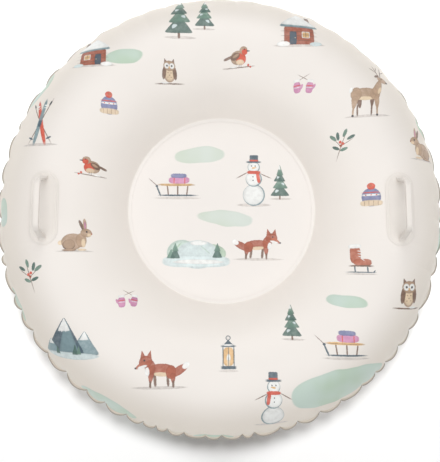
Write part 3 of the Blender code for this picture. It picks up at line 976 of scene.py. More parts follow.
filmSettings = {
    "cream": (0.868, 0.820, 0.773),
    "seatCream": (0.852, 0.808, 0.768),
    "innerPaintedLightCream": (0.915, 0.865, 0.813),    # painted light: lighter down the inside of the ring, which is in shade
    "rimPaintedShadeCream": (0.798, 0.724, 0.626),      # painted shade: the film darker and warmer towards the rim
    # painted shadow: the rim's margin darker, and a dark line at its outer edge
    "rimShadowColour": (0.30, 0.26, 0.22),
    "handleCream": (0.845, 0.795, 0.742),
    "valveGrey": (0.70, 0.71, 0.70),
    "innerReach": (0.27, 0.35),             # metres from the middle of the flat sheet
    "rimReach": (0.38, 0.525),
    "weldReach": (-0.001, 0.003),           # metres out from the rim's weld, where the margin gets painted shade
    "weldShade": 0.16,
    "edgeShadowReach": (0.0046, 0.0070),
    "edgeShadowShade": 0.85,
    "cloudShade": 0.985,
    "roughness": 0.38,
    "roughnessSpread": 0.06,
    "handleRoughness": 0.42,
    "valveRoughness": 0.32,
    "scales": {"hand": 420, "slow": 26, "wash": 95, "cloud": 9, "bay": 17, "grain": 1400},
    "mouldingScales": {"grain": 900, "cloud": 30},
    "mouldingShade": 0.97,
}


# The print: a loose winter pattern, painted stroke by stroke on the flat sheets before they were blown up

inks = {     # red, green and blue, of 255
    "mint": (184, 206, 184), "lagoon": (197, 215, 205), "ice": (214, 226, 226),
    "snow": (243, 243, 240), "mist": (214, 206, 200), "pine": (84, 112, 104), "fir": (112, 142, 128),
    "slate": (80, 100, 112), "rain": (132, 156, 162), "dusk": (128, 134, 172),
    "rust": (170, 92, 68), "brick": (188, 112, 88), "coral": (216, 90, 68), "rose": (208, 142, 180),
    "sand": (232, 210, 180), "honey": (226, 184, 128), "fawn": (186, 158, 134), "bark": (126, 100, 86),
    "soot": (58, 60, 66),
}
brushes = {     # how square each one is, and how far it tapers
    "oval": (2.0, 0.0), "soft": (3.2, 0.0), "block": (8.0, 0.0), "wedge": (9.0, 0.92), "drop": (2.4, 0.45)}
printSettings = {
    "seed": 5,
    "shadeSpread": (0.94, 1.06),
    "softEdge": 0.00045,
    "softLimits": (0.03, 0.6),
    "wobble": 0.0011,
    "handShare": 1.2,
    "slowShare": 1.5,
    "tint": (0.88, 0.22),     # a wash's tone, and how much its unevenness adds
    "thin": (0.97, 0.12),     # how well it covers, and how much its unevenness takes away
    "pool": (0.70, 0.97),     # where the colour gathers towards a stroke's edge
    "poolShade": 0.13,
    "patchBay": 0.008,        # how far a patch's outline may wander
    "patchEdge": 0.0009,
    "patchPower": 2.3,
    "patchShake": 0.0006,
    "patchRim": 0.006,
    "patchShade": 0.035,
}

# Each stroke: brush, place across and up, half width and half height, all four as shares of half the
# motif's height, then the ink, and for some a turn in degrees
motifs = {
    "fir": (
        ("oval", 0.05, -0.95, 0.55, 0.05, "mist"), ("block", 0.0, -0.84, 0.045, 0.13, "bark"),
        ("wedge", 0.0, -0.45, 0.28, 0.34, "pine"), ("wedge", 0.02, -0.08, 0.22, 0.30, "fir"),
        ("wedge", -0.01, 0.28, 0.17, 0.28, "pine"), ("wedge", 0.01, 0.62, 0.10, 0.28, "fir"),
        ("drop", -0.17, -0.52, 0.10, 0.07, "ice", 35), ("drop", 0.17, -0.12, 0.08, 0.06, "ice", -35),
        ("drop", -0.10, 0.24, 0.07, 0.06, "ice", 35), ("wedge", -0.01, 0.78, 0.035, 0.12, "snow")),
    "cabin": (
        ("oval", 0.0, -0.80, 0.98, 0.07, "mist"), ("block", 0.0, -0.38, 0.60, 0.40, "rust"),
        ("block", 0.0, -0.22, 0.60, 0.012, "bark"), ("block", 0.0, -0.42, 0.60, 0.012, "bark"),
        ("block", 0.0, -0.62, 0.60, 0.012, "bark"), ("block", 0.40, 0.50, 0.09, 0.20, "bark"),
        ("wedge", 0.0, 0.36, 0.44, 0.38, "rain"), ("wedge", 0.0, 0.42, 0.41, 0.33, "snow"),
        ("oval", 0.40, 0.72, 0.12, 0.05, "snow"), ("block", -0.24, -0.50, 0.14, 0.27, "slate"),
        ("oval", -0.16, -0.50, 0.02, 0.02, "sand"), ("block", 0.27, -0.36, 0.16, 0.15, "snow"),
        ("block", 0.27, -0.36, 0.13, 0.12, "honey"), ("block", 0.27, -0.36, 0.012, 0.12, "bark"),
        ("block", 0.27, -0.36, 0.13, 0.012, "bark"), ("oval", -0.62, -0.74, 0.26, 0.10, "snow"),
        ("oval", 0.66, -0.76, 0.24, 0.09, "ice")),
    "snowman": (
        ("oval", 0.0, -0.92, 0.62, 0.06, "mist"), ("oval", 0.0, -0.54, 0.42, 0.41, "rain"),
        ("oval", -0.02, -0.53, 0.39, 0.38, "snow"), ("oval", 0.0, 0.08, 0.31, 0.30, "rain"),
        ("oval", -0.02, 0.09, 0.28, 0.27, "snow"), ("oval", 0.0, 0.53, 0.23, 0.22, "rain"),
        ("oval", -0.01, 0.54, 0.21, 0.20, "snow"), ("block", -0.44, 0.22, 0.20, 0.016, "bark", 28),
        ("block", 0.44, 0.20, 0.20, 0.016, "bark", -24), ("soft", 0.0, 0.33, 0.25, 0.065, "coral"),
        ("soft", 0.17, 0.12, 0.065, 0.20, "coral", 8), ("block", 0.0, 0.73, 0.26, 0.035, "slate"),
        ("block", 0.01, 0.87, 0.16, 0.13, "slate"), ("block", 0.01, 0.79, 0.16, 0.03, "coral"),
        ("oval", -0.08, 0.58, 0.022, 0.026, "soot"), ("oval", 0.06, 0.58, 0.022, 0.026, "soot"),
        ("drop", 0.02, 0.51, 0.030, 0.09, "honey", -80), ("oval", -0.03, 0.16, 0.022, 0.024, "soot"),
        ("oval", -0.03, 0.02, 0.022, 0.024, "soot")),
    "robin": (
        ("block", 0.0, -0.62, 0.86, 0.025, "bark", 5), ("oval", -0.34, -0.60, 0.24, 0.05, "snow", 5),
        ("soft", -0.66, -0.12, 0.30, 0.075, "bark", 22), ("oval", -0.06, -0.08, 0.46, 0.38, "fawn", 18),
        ("oval", 0.15, -0.14, 0.32, 0.33, "coral"), ("oval", 0.10, -0.32, 0.26, 0.15, "sand"),
        ("oval", 0.30, 0.32, 0.25, 0.23, "fawn"), ("oval", 0.37, 0.24, 0.18, 0.17, "coral"),
        ("drop", 0.60, 0.29, 0.035, 0.10, "soot", -90), ("oval", 0.36, 0.38, 0.032, 0.034, "soot"),
        ("oval", -0.22, -0.02, 0.32, 0.18, "bark", 28), ("oval", -0.18, 0.02, 0.22, 0.07, "fawn", 28),
        ("block", 0.04, -0.50, 0.014, 0.09, "soot"), ("block", 0.16, -0.49, 0.014, 0.09, "soot"),
        ("oval", 0.62, -0.48, 0.07, 0.07, "coral"), ("oval", 0.76, -0.58, 0.06, 0.06, "coral")),
    "hare": (
        ("oval", 0.08, -0.84, 0.80, 0.05, "mist"), ("oval", 0.76, -0.40, 0.13, 0.12, "sand"),
        ("oval", 0.22, -0.34, 0.52, 0.44, "fawn"), ("oval", 0.38, -0.50, 0.29, 0.28, "bark"),
        ("oval", 0.37, -0.47, 0.27, 0.26, "fawn"), ("oval", -0.18, -0.26, 0.26, 0.38, "fawn", -10),
        ("oval", -0.30, -0.40, 0.10, 0.24, "sand", -8), ("oval", -0.16, 0.52, 0.080, 0.34, "bark", -24),
        ("oval", -0.31, 0.56, 0.090, 0.36, "fawn", -6), ("oval", -0.32, 0.54, 0.038, 0.22, "rose", -6),
        ("oval", -0.40, 0.14, 0.29, 0.23, "fawn", 10), ("oval", -0.56, 0.04, 0.11, 0.09, "sand"),
        ("oval", -0.42, 0.20, 0.045, 0.050, "soot"), ("oval", -0.67, 0.10, 0.040, 0.032, "rust"),
        ("oval", -0.24, -0.76, 0.22, 0.06, "sand"), ("oval", 0.34, -0.78, 0.32, 0.065, "bark"),
        ("oval", 0.34, -0.77, 0.30, 0.05, "fawn")),
    "fox": (
        ("oval", 0.05, -0.66, 0.95, 0.05, "mist"), ("oval", 0.72, -0.12, 0.37, 0.14, "rust", 28),
        ("oval", 0.97, 0.03, 0.14, 0.10, "snow", 28), ("soft", -0.12, -0.40, 0.050, 0.22, "bark", 6),
        ("soft", 0.34, -0.42, 0.048, 0.20, "bark", 8), ("oval", 0.10, -0.08, 0.50, 0.20, "rust", -3),
        ("oval", 0.10, -0.22, 0.30, 0.07, "sand", -4), ("oval", 0.44, -0.16, 0.19, 0.22, "rust", 10),
        ("drop", 0.52, -0.36, 0.085, 0.17, "rust", 184), ("soft", 0.54, -0.54, 0.040, 0.12, "bark", 2),
        ("drop", -0.27, -0.30, 0.090, 0.22, "rust", 178), ("soft", -0.28, -0.54, 0.038, 0.12, "bark"),
        ("oval", -0.32, 0.02, 0.19, 0.24, "rust", 14), ("oval", -0.41, -0.12, 0.08, 0.15, "snow", 12),
        ("wedge", -0.62, 0.44, 0.055, 0.13, "rust", 12), ("wedge", -0.36, 0.44, 0.055, 0.13, "rust", -12),
        ("oval", -0.49, 0.20, 0.24, 0.19, "rust"), ("drop", -0.66, 0.08, 0.09, 0.20, "brick", 118),
        ("oval", -0.60, 0.035, 0.17, 0.05, "snow", 15), ("oval", -0.84, 0.00, 0.034, 0.03, "soot"),
        ("oval", -0.54, 0.24, 0.03, 0.032, "soot")),
    "mittens": (
        ("block", 0.0, 0.52, 0.016, 0.36, "bark", 62), ("block", 0.0, 0.52, 0.016, 0.36, "bark", -62),
        ("soft", -0.40, -0.08, 0.24, 0.36, "rose", 8), ("oval", -0.12, -0.06, 0.09, 0.20, "rose", -28),
        ("block", -0.45, 0.34, 0.22, 0.09, "snow", 8), ("block", -0.41, 0.04, 0.22, 0.030, "coral", 8),
        ("block", -0.40, -0.08, 0.22, 0.020, "snow", 8),
        ("soft", 0.44, -0.14, 0.24, 0.36, "rose", -8), ("oval", 0.72, -0.10, 0.09, 0.20, "rose", -34),
        ("block", 0.49, 0.28, 0.22, 0.09, "snow", -8), ("block", 0.45, -0.02, 0.22, 0.030, "coral", -8),
        ("block", 0.44, -0.14, 0.22, 0.020, "snow", -8)),
    "hat": (
        ("oval", 0.0, -0.10, 0.54, 0.60, "dusk"), ("soft", 0.0, 0.04, 0.50, 0.065, "snow"),
        ("soft", 0.0, 0.20, 0.46, 0.035, "coral"), ("oval", -0.30, 0.04, 0.04, 0.04, "coral"),
        ("oval", 0.0, 0.04, 0.04, 0.04, "coral"), ("oval", 0.30, 0.04, 0.04, 0.04, "coral"),
        ("soft", 0.0, -0.48, 0.62, 0.19, "sand"), ("block", -0.38, -0.48, 0.016, 0.14, "fawn"),
        ("block", -0.13, -0.48, 0.016, 0.16, "fawn"), ("block", 0.13, -0.48, 0.016, 0.16, "fawn"),
        ("block", 0.38, -0.48, 0.016, 0.14, "fawn"), ("oval", 0.0, 0.60, 0.23, 0.22, "coral"),
        ("oval", -0.06, 0.65, 0.10, 0.09, "brick")),
    "skis": (
        ("oval", 0.0, -0.92, 0.62, 0.05, "mist"), ("block", -0.02, 0.02, 0.018, 0.86, "bark", 27),
        ("block", 0.02, 0.02, 0.018, 0.86, "bark", -27), ("oval", 0.34, -0.66, 0.10, 0.035, "slate", 27),
        ("oval", -0.34, -0.66, 0.10, 0.035, "slate", -27), ("soft", -0.36, 0.72, 0.035, 0.10, "soot", 27),
        ("soft", 0.36, 0.72, 0.035, 0.10, "soot", -27), ("soft", 0.02, 0.0, 0.075, 0.92, "coral", 12),
        ("soft", -0.02, 0.0, 0.075, 0.92, "rain", -12), ("block", -0.02, -0.08, 0.065, 0.13, "slate", -12),
        ("block", -0.17, 0.66, 0.065, 0.03, "snow", 12), ("block", 0.17, 0.66, 0.065, 0.03, "snow", -12),
        ("block", -0.15, 0.56, 0.065, 0.015, "snow", 12), ("block", 0.15, 0.56, 0.065, 0.015, "snow", -12)),
    "peaks": (
        ("wedge", 0.52, -0.16, 0.30, 0.40, "rain"), ("wedge", -0.20, 0.08, 0.42, 0.64, "slate"),
        ("wedge", -0.08, 0.04, 0.22, 0.58, "rain", 4), ("wedge", -0.20, 0.50, 0.12, 0.22, "snow"),
        ("wedge", -0.27, 0.34, 0.035, 0.10, "snow", 180), ("wedge", -0.12, 0.36, 0.035, 0.12, "snow", 180),
        ("wedge", 0.52, 0.10, 0.085, 0.14, "snow"), ("wedge", -0.74, -0.28, 0.20, 0.28, "rain"),
        ("wedge", -0.74, -0.10, 0.06, 0.10, "snow"), ("oval", 0.0, -0.60, 1.05, 0.13, "ice"),
        ("wedge", 0.20, -0.36, 0.06, 0.18, "pine"), ("wedge", 0.34, -0.38, 0.05, 0.15, "fir"),
        ("wedge", -0.50, -0.40, 0.05, 0.16, "pine")),
    "hills": (
        ("oval", 0.60, -0.30, 0.70, 0.42, "mint"), ("oval", -0.62, -0.26, 0.66, 0.56, "lagoon"),
        ("oval", 0.06, -0.34, 0.92, 0.62, "ice"), ("oval", 0.10, 0.16, 0.36, 0.10, "snow"),
        ("soft", 0.40, -0.14, 0.025, 0.24, "lagoon", 50), ("soft", -0.80, 0.02, 0.025, 0.20, "mint", -40),
        ("soft", 0.0, -0.64, 1.46, 0.26, "ice"), ("oval", 0.10, -0.66, 1.10, 0.10, "snow"),
        ("wedge", 0.92, -0.24, 0.12, 0.24, "pine"), ("wedge", 0.92, -0.02, 0.08, 0.18, "fir"),
        ("wedge", -1.10, -0.30, 0.10, 0.20, "fir"), ("wedge", -0.92, -0.26, 0.12, 0.25, "pine"),
        ("wedge", -0.92, -0.02, 0.08, 0.18, "fir")),
    "skate": (
        ("oval", 0.1, -0.92, 0.70, 0.04, "mist"), ("block", 0.12, -0.82, 0.62, 0.028, "slate"),
        ("drop", 0.76, -0.76, 0.03, 0.09, "slate", -35), ("block", -0.18, -0.66, 0.035, 0.15, "slate"),
        ("block", 0.44, -0.66, 0.035, 0.15, "slate"), ("soft", -0.10, 0.14, 0.27, 0.50, "brick"),
        ("soft", 0.22, -0.28, 0.44, 0.19, "brick"), ("block", 0.14, -0.48, 0.54, 0.045, "bark"),
        ("soft", -0.10, 0.62, 0.32, 0.12, "snow"), ("block", 0.12, 0.34, 0.10, 0.022, "snow", -8),
        ("block", 0.13, 0.18, 0.10, 0.022, "snow", -8), ("block", 0.16, 0.02, 0.10, 0.022, "snow", -16),
        ("block", 0.24, -0.12, 0.10, 0.022, "snow", -36)),
    "sled": (
        ("oval", 0.0, -0.62, 0.95, 0.05, "mist"), ("block", -0.42, -0.28, 0.03, 0.22, "bark", 6),
        ("block", 0.0, -0.28, 0.03, 0.22, "bark"), ("block", 0.42, -0.28, 0.03, 0.22, "bark", -6),
        ("soft", -0.02, -0.50, 0.78, 0.035, "slate"), ("soft", 0.82, -0.32, 0.035, 0.22, "slate", -22),
        ("oval", 0.90, -0.10, 0.06, 0.05, "slate"), ("soft", 0.06, -0.04, 0.74, 0.055, "honey"),
        ("block", 0.06, -0.05, 0.70, 0.010, "bark"), ("soft", -0.06, 0.16, 0.44, 0.15, "rose"),
        ("block", -0.30, 0.16, 0.020, 0.14, "coral"), ("block", 0.16, 0.16, 0.020, 0.14, "coral"),
        ("soft", -0.04, 0.36, 0.34, 0.10, "dusk"), ("block", 1.06, 0.06, 0.014, 0.20, "bark", -48)),
    "lantern": (
        ("oval", 0.0, -0.86, 0.50, 0.05, "mist"), ("soft", 0.0, -0.16, 0.30, 0.46, "honey"),
        ("oval", 0.0, -0.24, 0.11, 0.20, "snow"), ("soft", 0.0, -0.50, 0.10, 0.16, "sand"),
        ("block", -0.30, -0.14, 0.030, 0.50, "slate"), ("block", 0.30, -0.14, 0.030, 0.50, "slate"),
        ("block", 0.0, -0.14, 0.016, 0.50, "slate"), ("block", 0.0, -0.70, 0.40, 0.075, "slate"),
        ("block", 0.0, 0.36, 0.38, 0.045, "slate"), ("wedge", 0.0, 0.54, 0.16, 0.15, "slate"),
        ("oval", 0.0, 0.80, 0.14, 0.14, "slate"), ("oval", 0.0, 0.80, 0.10, 0.10, "paper"),
        ("oval", -0.02, 0.42, 0.30, 0.05, "snow")),
    "deer": (
        ("oval", 0.05, -0.96, 0.72, 0.045, "mist"), ("drop", -0.08, -0.42, 0.070, 0.24, "bark", 184),
        ("soft", -0.06, -0.74, 0.028, 0.20, "bark", 3), ("drop", 0.36, -0.44, 0.085, 0.24, "bark", 172),
        ("soft", 0.41, -0.74, 0.028, 0.20, "bark", -2), ("oval", 0.14, -0.16, 0.50, 0.23, "fawn", -3),
        ("oval", 0.14, -0.32, 0.30, 0.07, "sand"), ("oval", 0.47, -0.16, 0.19, 0.24, "fawn", 8),
        ("oval", 0.65, -0.02, 0.055, 0.10, "snow", 16), ("drop", 0.52, -0.46, 0.100, 0.24, "fawn", 186),
        ("soft", 0.55, -0.75, 0.030, 0.20, "fawn", 3), ("block", 0.56, -0.93, 0.036, 0.035, "soot"),
        ("oval", -0.20, -0.14, 0.18, 0.24, "fawn", 10), ("drop", -0.25, -0.46, 0.080, 0.26, "fawn", 179),
        ("soft", -0.25, -0.75, 0.029, 0.20, "fawn"), ("block", -0.25, -0.93, 0.036, 0.035, "soot"),
        ("drop", -0.34, 0.14, 0.14, 0.36, "fawn", 24), ("oval", -0.38, 0.00, 0.055, 0.16, "sand", 24),
        ("oval", -0.56, 0.46, 0.22, 0.12, "fawn", 20), ("oval", -0.34, 0.60, 0.11, 0.05, "bark", -24),
        ("oval", -0.75, 0.39, 0.045, 0.04, "soot"), ("oval", -0.54, 0.51, 0.024, 0.026, "soot"),
        ("soft", -0.34, 0.80, 0.018, 0.24, "bark", -24), ("soft", -0.54, 0.82, 0.018, 0.24, "bark", 12),
        ("soft", -0.22, 0.84, 0.014, 0.14, "bark", -62), ("soft", -0.66, 0.86, 0.014, 0.12, "bark", 54),
        ("soft", -0.38, 0.94, 0.014, 0.10, "bark", 14)),
    "owl": (
        ("block", 0.0, -0.74, 0.80, 0.035, "bark", -3), ("oval", 0.30, -0.70, 0.28, 0.05, "snow", -3),
        ("oval", 0.0, -0.04, 0.42, 0.62, "fawn"), ("oval", 0.0, -0.18, 0.27, 0.40, "sand"),
        ("oval", -0.34, -0.10, 0.13, 0.40, "bark", -8), ("oval", 0.34, -0.10, 0.13, 0.40, "bark", 8),
        ("wedge", -0.26, 0.60, 0.06, 0.13, "bark", 18), ("wedge", 0.26, 0.60, 0.06, 0.13, "bark", -18),
        ("oval", 0.0, 0.30, 0.38, 0.30, "fawn"), ("oval", -0.16, 0.30, 0.16, 0.17, "snow"),
        ("oval", 0.16, 0.30, 0.16, 0.17, "snow"), ("oval", -0.15, 0.30, 0.055, 0.06, "soot"),
        ("oval", 0.15, 0.30, 0.055, 0.06, "soot"), ("wedge", 0.0, 0.19, 0.035, 0.07, "honey", 180),
        ("oval", -0.10, -0.10, 0.05, 0.03, "fawn"), ("oval", 0.10, -0.10, 0.05, 0.03, "fawn"),
        ("oval", 0.0, -0.24, 0.05, 0.03, "fawn"), ("oval", -0.12, -0.36, 0.05, 0.03, "fawn"),
        ("oval", 0.12, -0.36, 0.05, 0.03, "fawn")),
    "sprig": (
        ("soft", 0.0, -0.10, 0.022, 0.78, "bark", -18), ("soft", -0.22, 0.10, 0.018, 0.38, "bark", 42),
        ("soft", 0.34, 0.10, 0.018, 0.34, "bark", -58), ("oval", -0.50, 0.42, 0.11, 0.26, "fir", 50),
        ("oval", -0.22, 0.52, 0.10, 0.26, "pine", 8), ("oval", 0.20, 0.70, 0.10, 0.26, "fir", -20),
        ("oval", 0.56, 0.40, 0.10, 0.25, "pine", -62), ("oval", -0.32, -0.22, 0.10, 0.24, "pine", 66),
        ("oval", 0.16, -0.32, 0.10, 0.24, "fir", -70), ("oval", -0.06, 0.14, 0.09, 0.09, "coral"),
        ("oval", 0.10, 0.04, 0.09, 0.09, "coral"), ("oval", -0.02, -0.08, 0.08, 0.08, "rust")),
}

# Each motif: distance from the middle of the flat sheet, bearing in degrees, half height, True if flipped
ringLayout = (
    ("fir", 0.430, 103, 0.060), ("fir", 0.424, 95.5, 0.043, True), ("robin", 0.330, 84, 0.035),
    ("cabin", 0.425, 67, 0.055), ("mittens", 0.318, 56, 0.031), ("deer", 0.402, 38, 0.060, True),
    ("sprig", 0.295, 27, 0.034), ("hat", 0.322, 3, 0.034), ("hare", 0.452, 17, 0.042),
    ("skate", 0.312, 338, 0.039), ("owl", 0.432, 334, 0.043), ("sled", 0.385, 311, 0.050, True),
    ("fir", 0.290, 300, 0.040), ("snowman", 0.420, 284, 0.057, True), ("lantern", 0.318, 272, 0.038),
    ("fox", 0.365, 249, 0.056), ("mittens", 0.290, 226, 0.030, True), ("peaks", 0.420, 222, 0.058),
    ("sprig", 0.425, 201, 0.034, True), ("hare", 0.318, 193, 0.040, True),
    ("robin", 0.298, 164, 0.034, True),
    ("skis", 0.425, 156, 0.056), ("hat", 0.330, 139, 0.031, True), ("cabin", 0.438, 130, 0.048, True),
    ("owl", 0.318, 112, 0.034, True))
seatLayout = (
    ("sled", 0.104, 150, 0.047, True), ("snowman", 0.088, 42, 0.054), ("fir", 0.132, 26, 0.038),
    ("hills", 0.092, 236, 0.046), ("fox", 0.102, 318, 0.050, True))
underLayout = (
    ("fir", 0.430, 30, 0.058), ("hare", 0.350, 62, 0.040), ("peaks", 0.420, 132, 0.056, True),
    ("robin", 0.320, 160, 0.034, True), ("cabin", 0.410, 196, 0.054), ("skis", 0.330, 236, 0.050),
    ("deer", 0.420, 262, 0.058), ("hat", 0.310, 290, 0.033, True), ("snowman", 0.420, 325, 0.056, True),
    ("mittens", 0.330, 5, 0.031))
# Pale green patches: distance, bearing, half length, half height, turn
ringPatches = (
    (0.455, 303, 0.112, 0.040, 12), (0.505, 84, 0.056, 0.022, -6), (0.500, 147, 0.050, 0.030, 52),
    (0.520, 50, 0.040, 0.050, 40), (0.518, 352, 0.024, 0.056, 6), (0.500, 240, 0.070, 0.026, -26),
    (0.480, 182, 0.020, 0.034, 4), (0.385, 124, 0.040, 0.015, 8), (0.335, 321, 0.038, 0.013, -6),
    (0.522, 268, 0.046, 0.018, 0), (0.515, 206, 0.022, 0.040, 20), (0.505, 22, 0.030, 0.026, 60))
seatPatches = ((0.120, 112, 0.050, 0.0165, 4), (0.020, 290, 0.056, 0.0150, -3))
underPatches = ((0.450, 80, 0.080, 0.030, -8), (0.500, 170, 0.030, 0.050, 10), (0.470, 290, 0.090, 0.030, 12))


def linear(colour):
    return [c / 255 / 12.92 if c <= 10 else ((c / 255 + 0.055) / 1.055) ** 2.4 for c in colour]


def laidOut(layout):
    # Every stroke in metres on the flat sheet: place, turn, brush, size and ink
    dice = np.random.default_rng(printSettings["seed"])
    strokes = []
    for name, reach, bearing, size, *flip in layout:
        x, y = reach * math.cos(math.radians(bearing)), reach * math.sin(math.radians(bearing))
        way = -1 if flip else 1
        for brush, across, up, width, height, ink, *turn in motifs[name]:
            roundness, taper = brushes[brush]
            colour = filmSettings["cream"] if ink == "paper" else linear(inks[ink])
            shade = 1 if ink == "paper" else dice.uniform(*printSettings["shadeSpread"])
            strokes.append((
                x + way * across * size, y + up * size, way * math.radians(turn[0] if turn else 0),
                roundness, taper, width * size, height * size, [shade * c for c in colour]))
    return strokes


def faceSpots(piece):
    # Middle and half extent of each face on the flat sheet
    mesh = piece.data
    flat = readAll(mesh.attributes["flatPlace"].data, "vector", 3)[:, :2]
    corners = readAll(mesh.loops, "vertex_index", kind=int)
    first = readAll(mesh.polygons, "loop_start", kind=int)
    low = np.minimum.reduceat(flat[corners], first, axis=0)
    high = np.maximum.reduceat(flat[corners], first, axis=0)
    return (low + high) / 2, np.linalg.norm(high - low, axis=1) / 2


def faceColours(piece, name, values):
    attribute = piece.data.attributes.new(name, "FLOAT_COLOR", "FACE")
    attribute.data.foreach_set("color", np.asarray(values, dtype=np.float32).ravel())


def paintPatches(piece, patches):
    # Every face keeps the place and size of the one patch that it may lie on
    # A face on no patch gets one that is out of reach
    middle, extent = faceSpots(piece)
    places = np.tile((5.0, 5.0, 1.0, 0.0), (len(middle), 1))
    sizes = np.ones((len(middle), 4))
    for reach, bearing, length, height, turn in patches:
        bearing, turn = math.radians(bearing), math.radians(turn)
        x, y = reach * math.cos(bearing), reach * math.sin(bearing)
        away = middle - (x, y)
        across = np.abs(away[:, 0] * math.cos(turn) + away[:, 1] * math.sin(turn))
        up = np.abs(away[:, 1] * math.cos(turn) - away[:, 0] * math.sin(turn))
        margin = printSettings["patchBay"] + extent
        near = (across < length + margin) & (up < height + margin)
        places[near] = (x, y, math.cos(turn), math.sin(turn))
        sizes[near] = (1 / length, 1 / height, min(length, height), 1)
    faceColours(piece, "patchPlace", places)
    faceColours(piece, "patchSize", sizes)


def paintStrokes(piece, strokes):
    # Every face keeps the strokes that cross it, in painting order, as attributes that its material reads
    middle, extent = faceSpots(piece)
    count = len(middle)
    used = np.zeros(count, dtype=int)
    found = []
    margin = printSettings["wobble"] + printSettings["softEdge"]
    softLeast, softMost = printSettings["softLimits"]
    for x, y, turn, roundness, taper, width, height, colour in strokes:
        reach = math.hypot(width * (1 + taper), height) + margin
        near = np.nonzero(np.hypot(middle[:, 0] - x, middle[:, 1] - y) < reach + extent)[0]
        away = middle[near] - (x, y)
        across = away[:, 0] * math.cos(turn) + away[:, 1] * math.sin(turn)
        up = away[:, 1] * math.cos(turn) - away[:, 0] * math.sin(turn)
        wide = width * (1 - taper * np.clip((up - extent[near]) / height, -1, 1))
        slack = margin + extent[near]
        faces = near[(np.abs(across) < wide + slack) & (np.abs(up) < height + slack)]
        if len(faces):
            soft = min(softMost, max(softLeast, printSettings["softEdge"] / min(width, height)))
            found.append((
                faces, used[faces].copy(), (x, y, math.cos(turn), math.sin(turn)),
                (1 / width, 1 / height, roundness, taper), (*colour, soft)))
            used[faces] += 1
    slots = int(used.max()) if count else 0
    outOfReach = ((5, 5, 1, 0), (1, 1, 2, 0), (0, 0, 0, 0.1))
    layers = [
        [np.tile(np.array(rest, dtype=np.float32), (count, 1)) for rest in outOfReach]
        for _ in range(slots)]
    for faces, slot, *values in found:
        for number in np.unique(slot):
            chosen = faces[slot == number]
            for layer, value in zip(layers[number], values):
                layer[chosen] = value
    for number, trio in enumerate(layers):
        for label, layer in zip(("Place", "Size", "Ink"), trio):
            faceColours(piece, f"stroke{label}{number}", layer)
    print(piece.name, "print:", len(found), "strokes, at most", slots, "on a face")
    return slots


def turnedInto(right, up, cosine, sine):
    return right * cosine + up * sine, up * cosine - right * sine


def edgeOf(across, upward, power):
    # 1 on the outline of a superellipse of unit size
    return (across.maths("ABSOLUTE") ** power + upward.maths("ABSOLUTE") ** power) ** (1 / power)


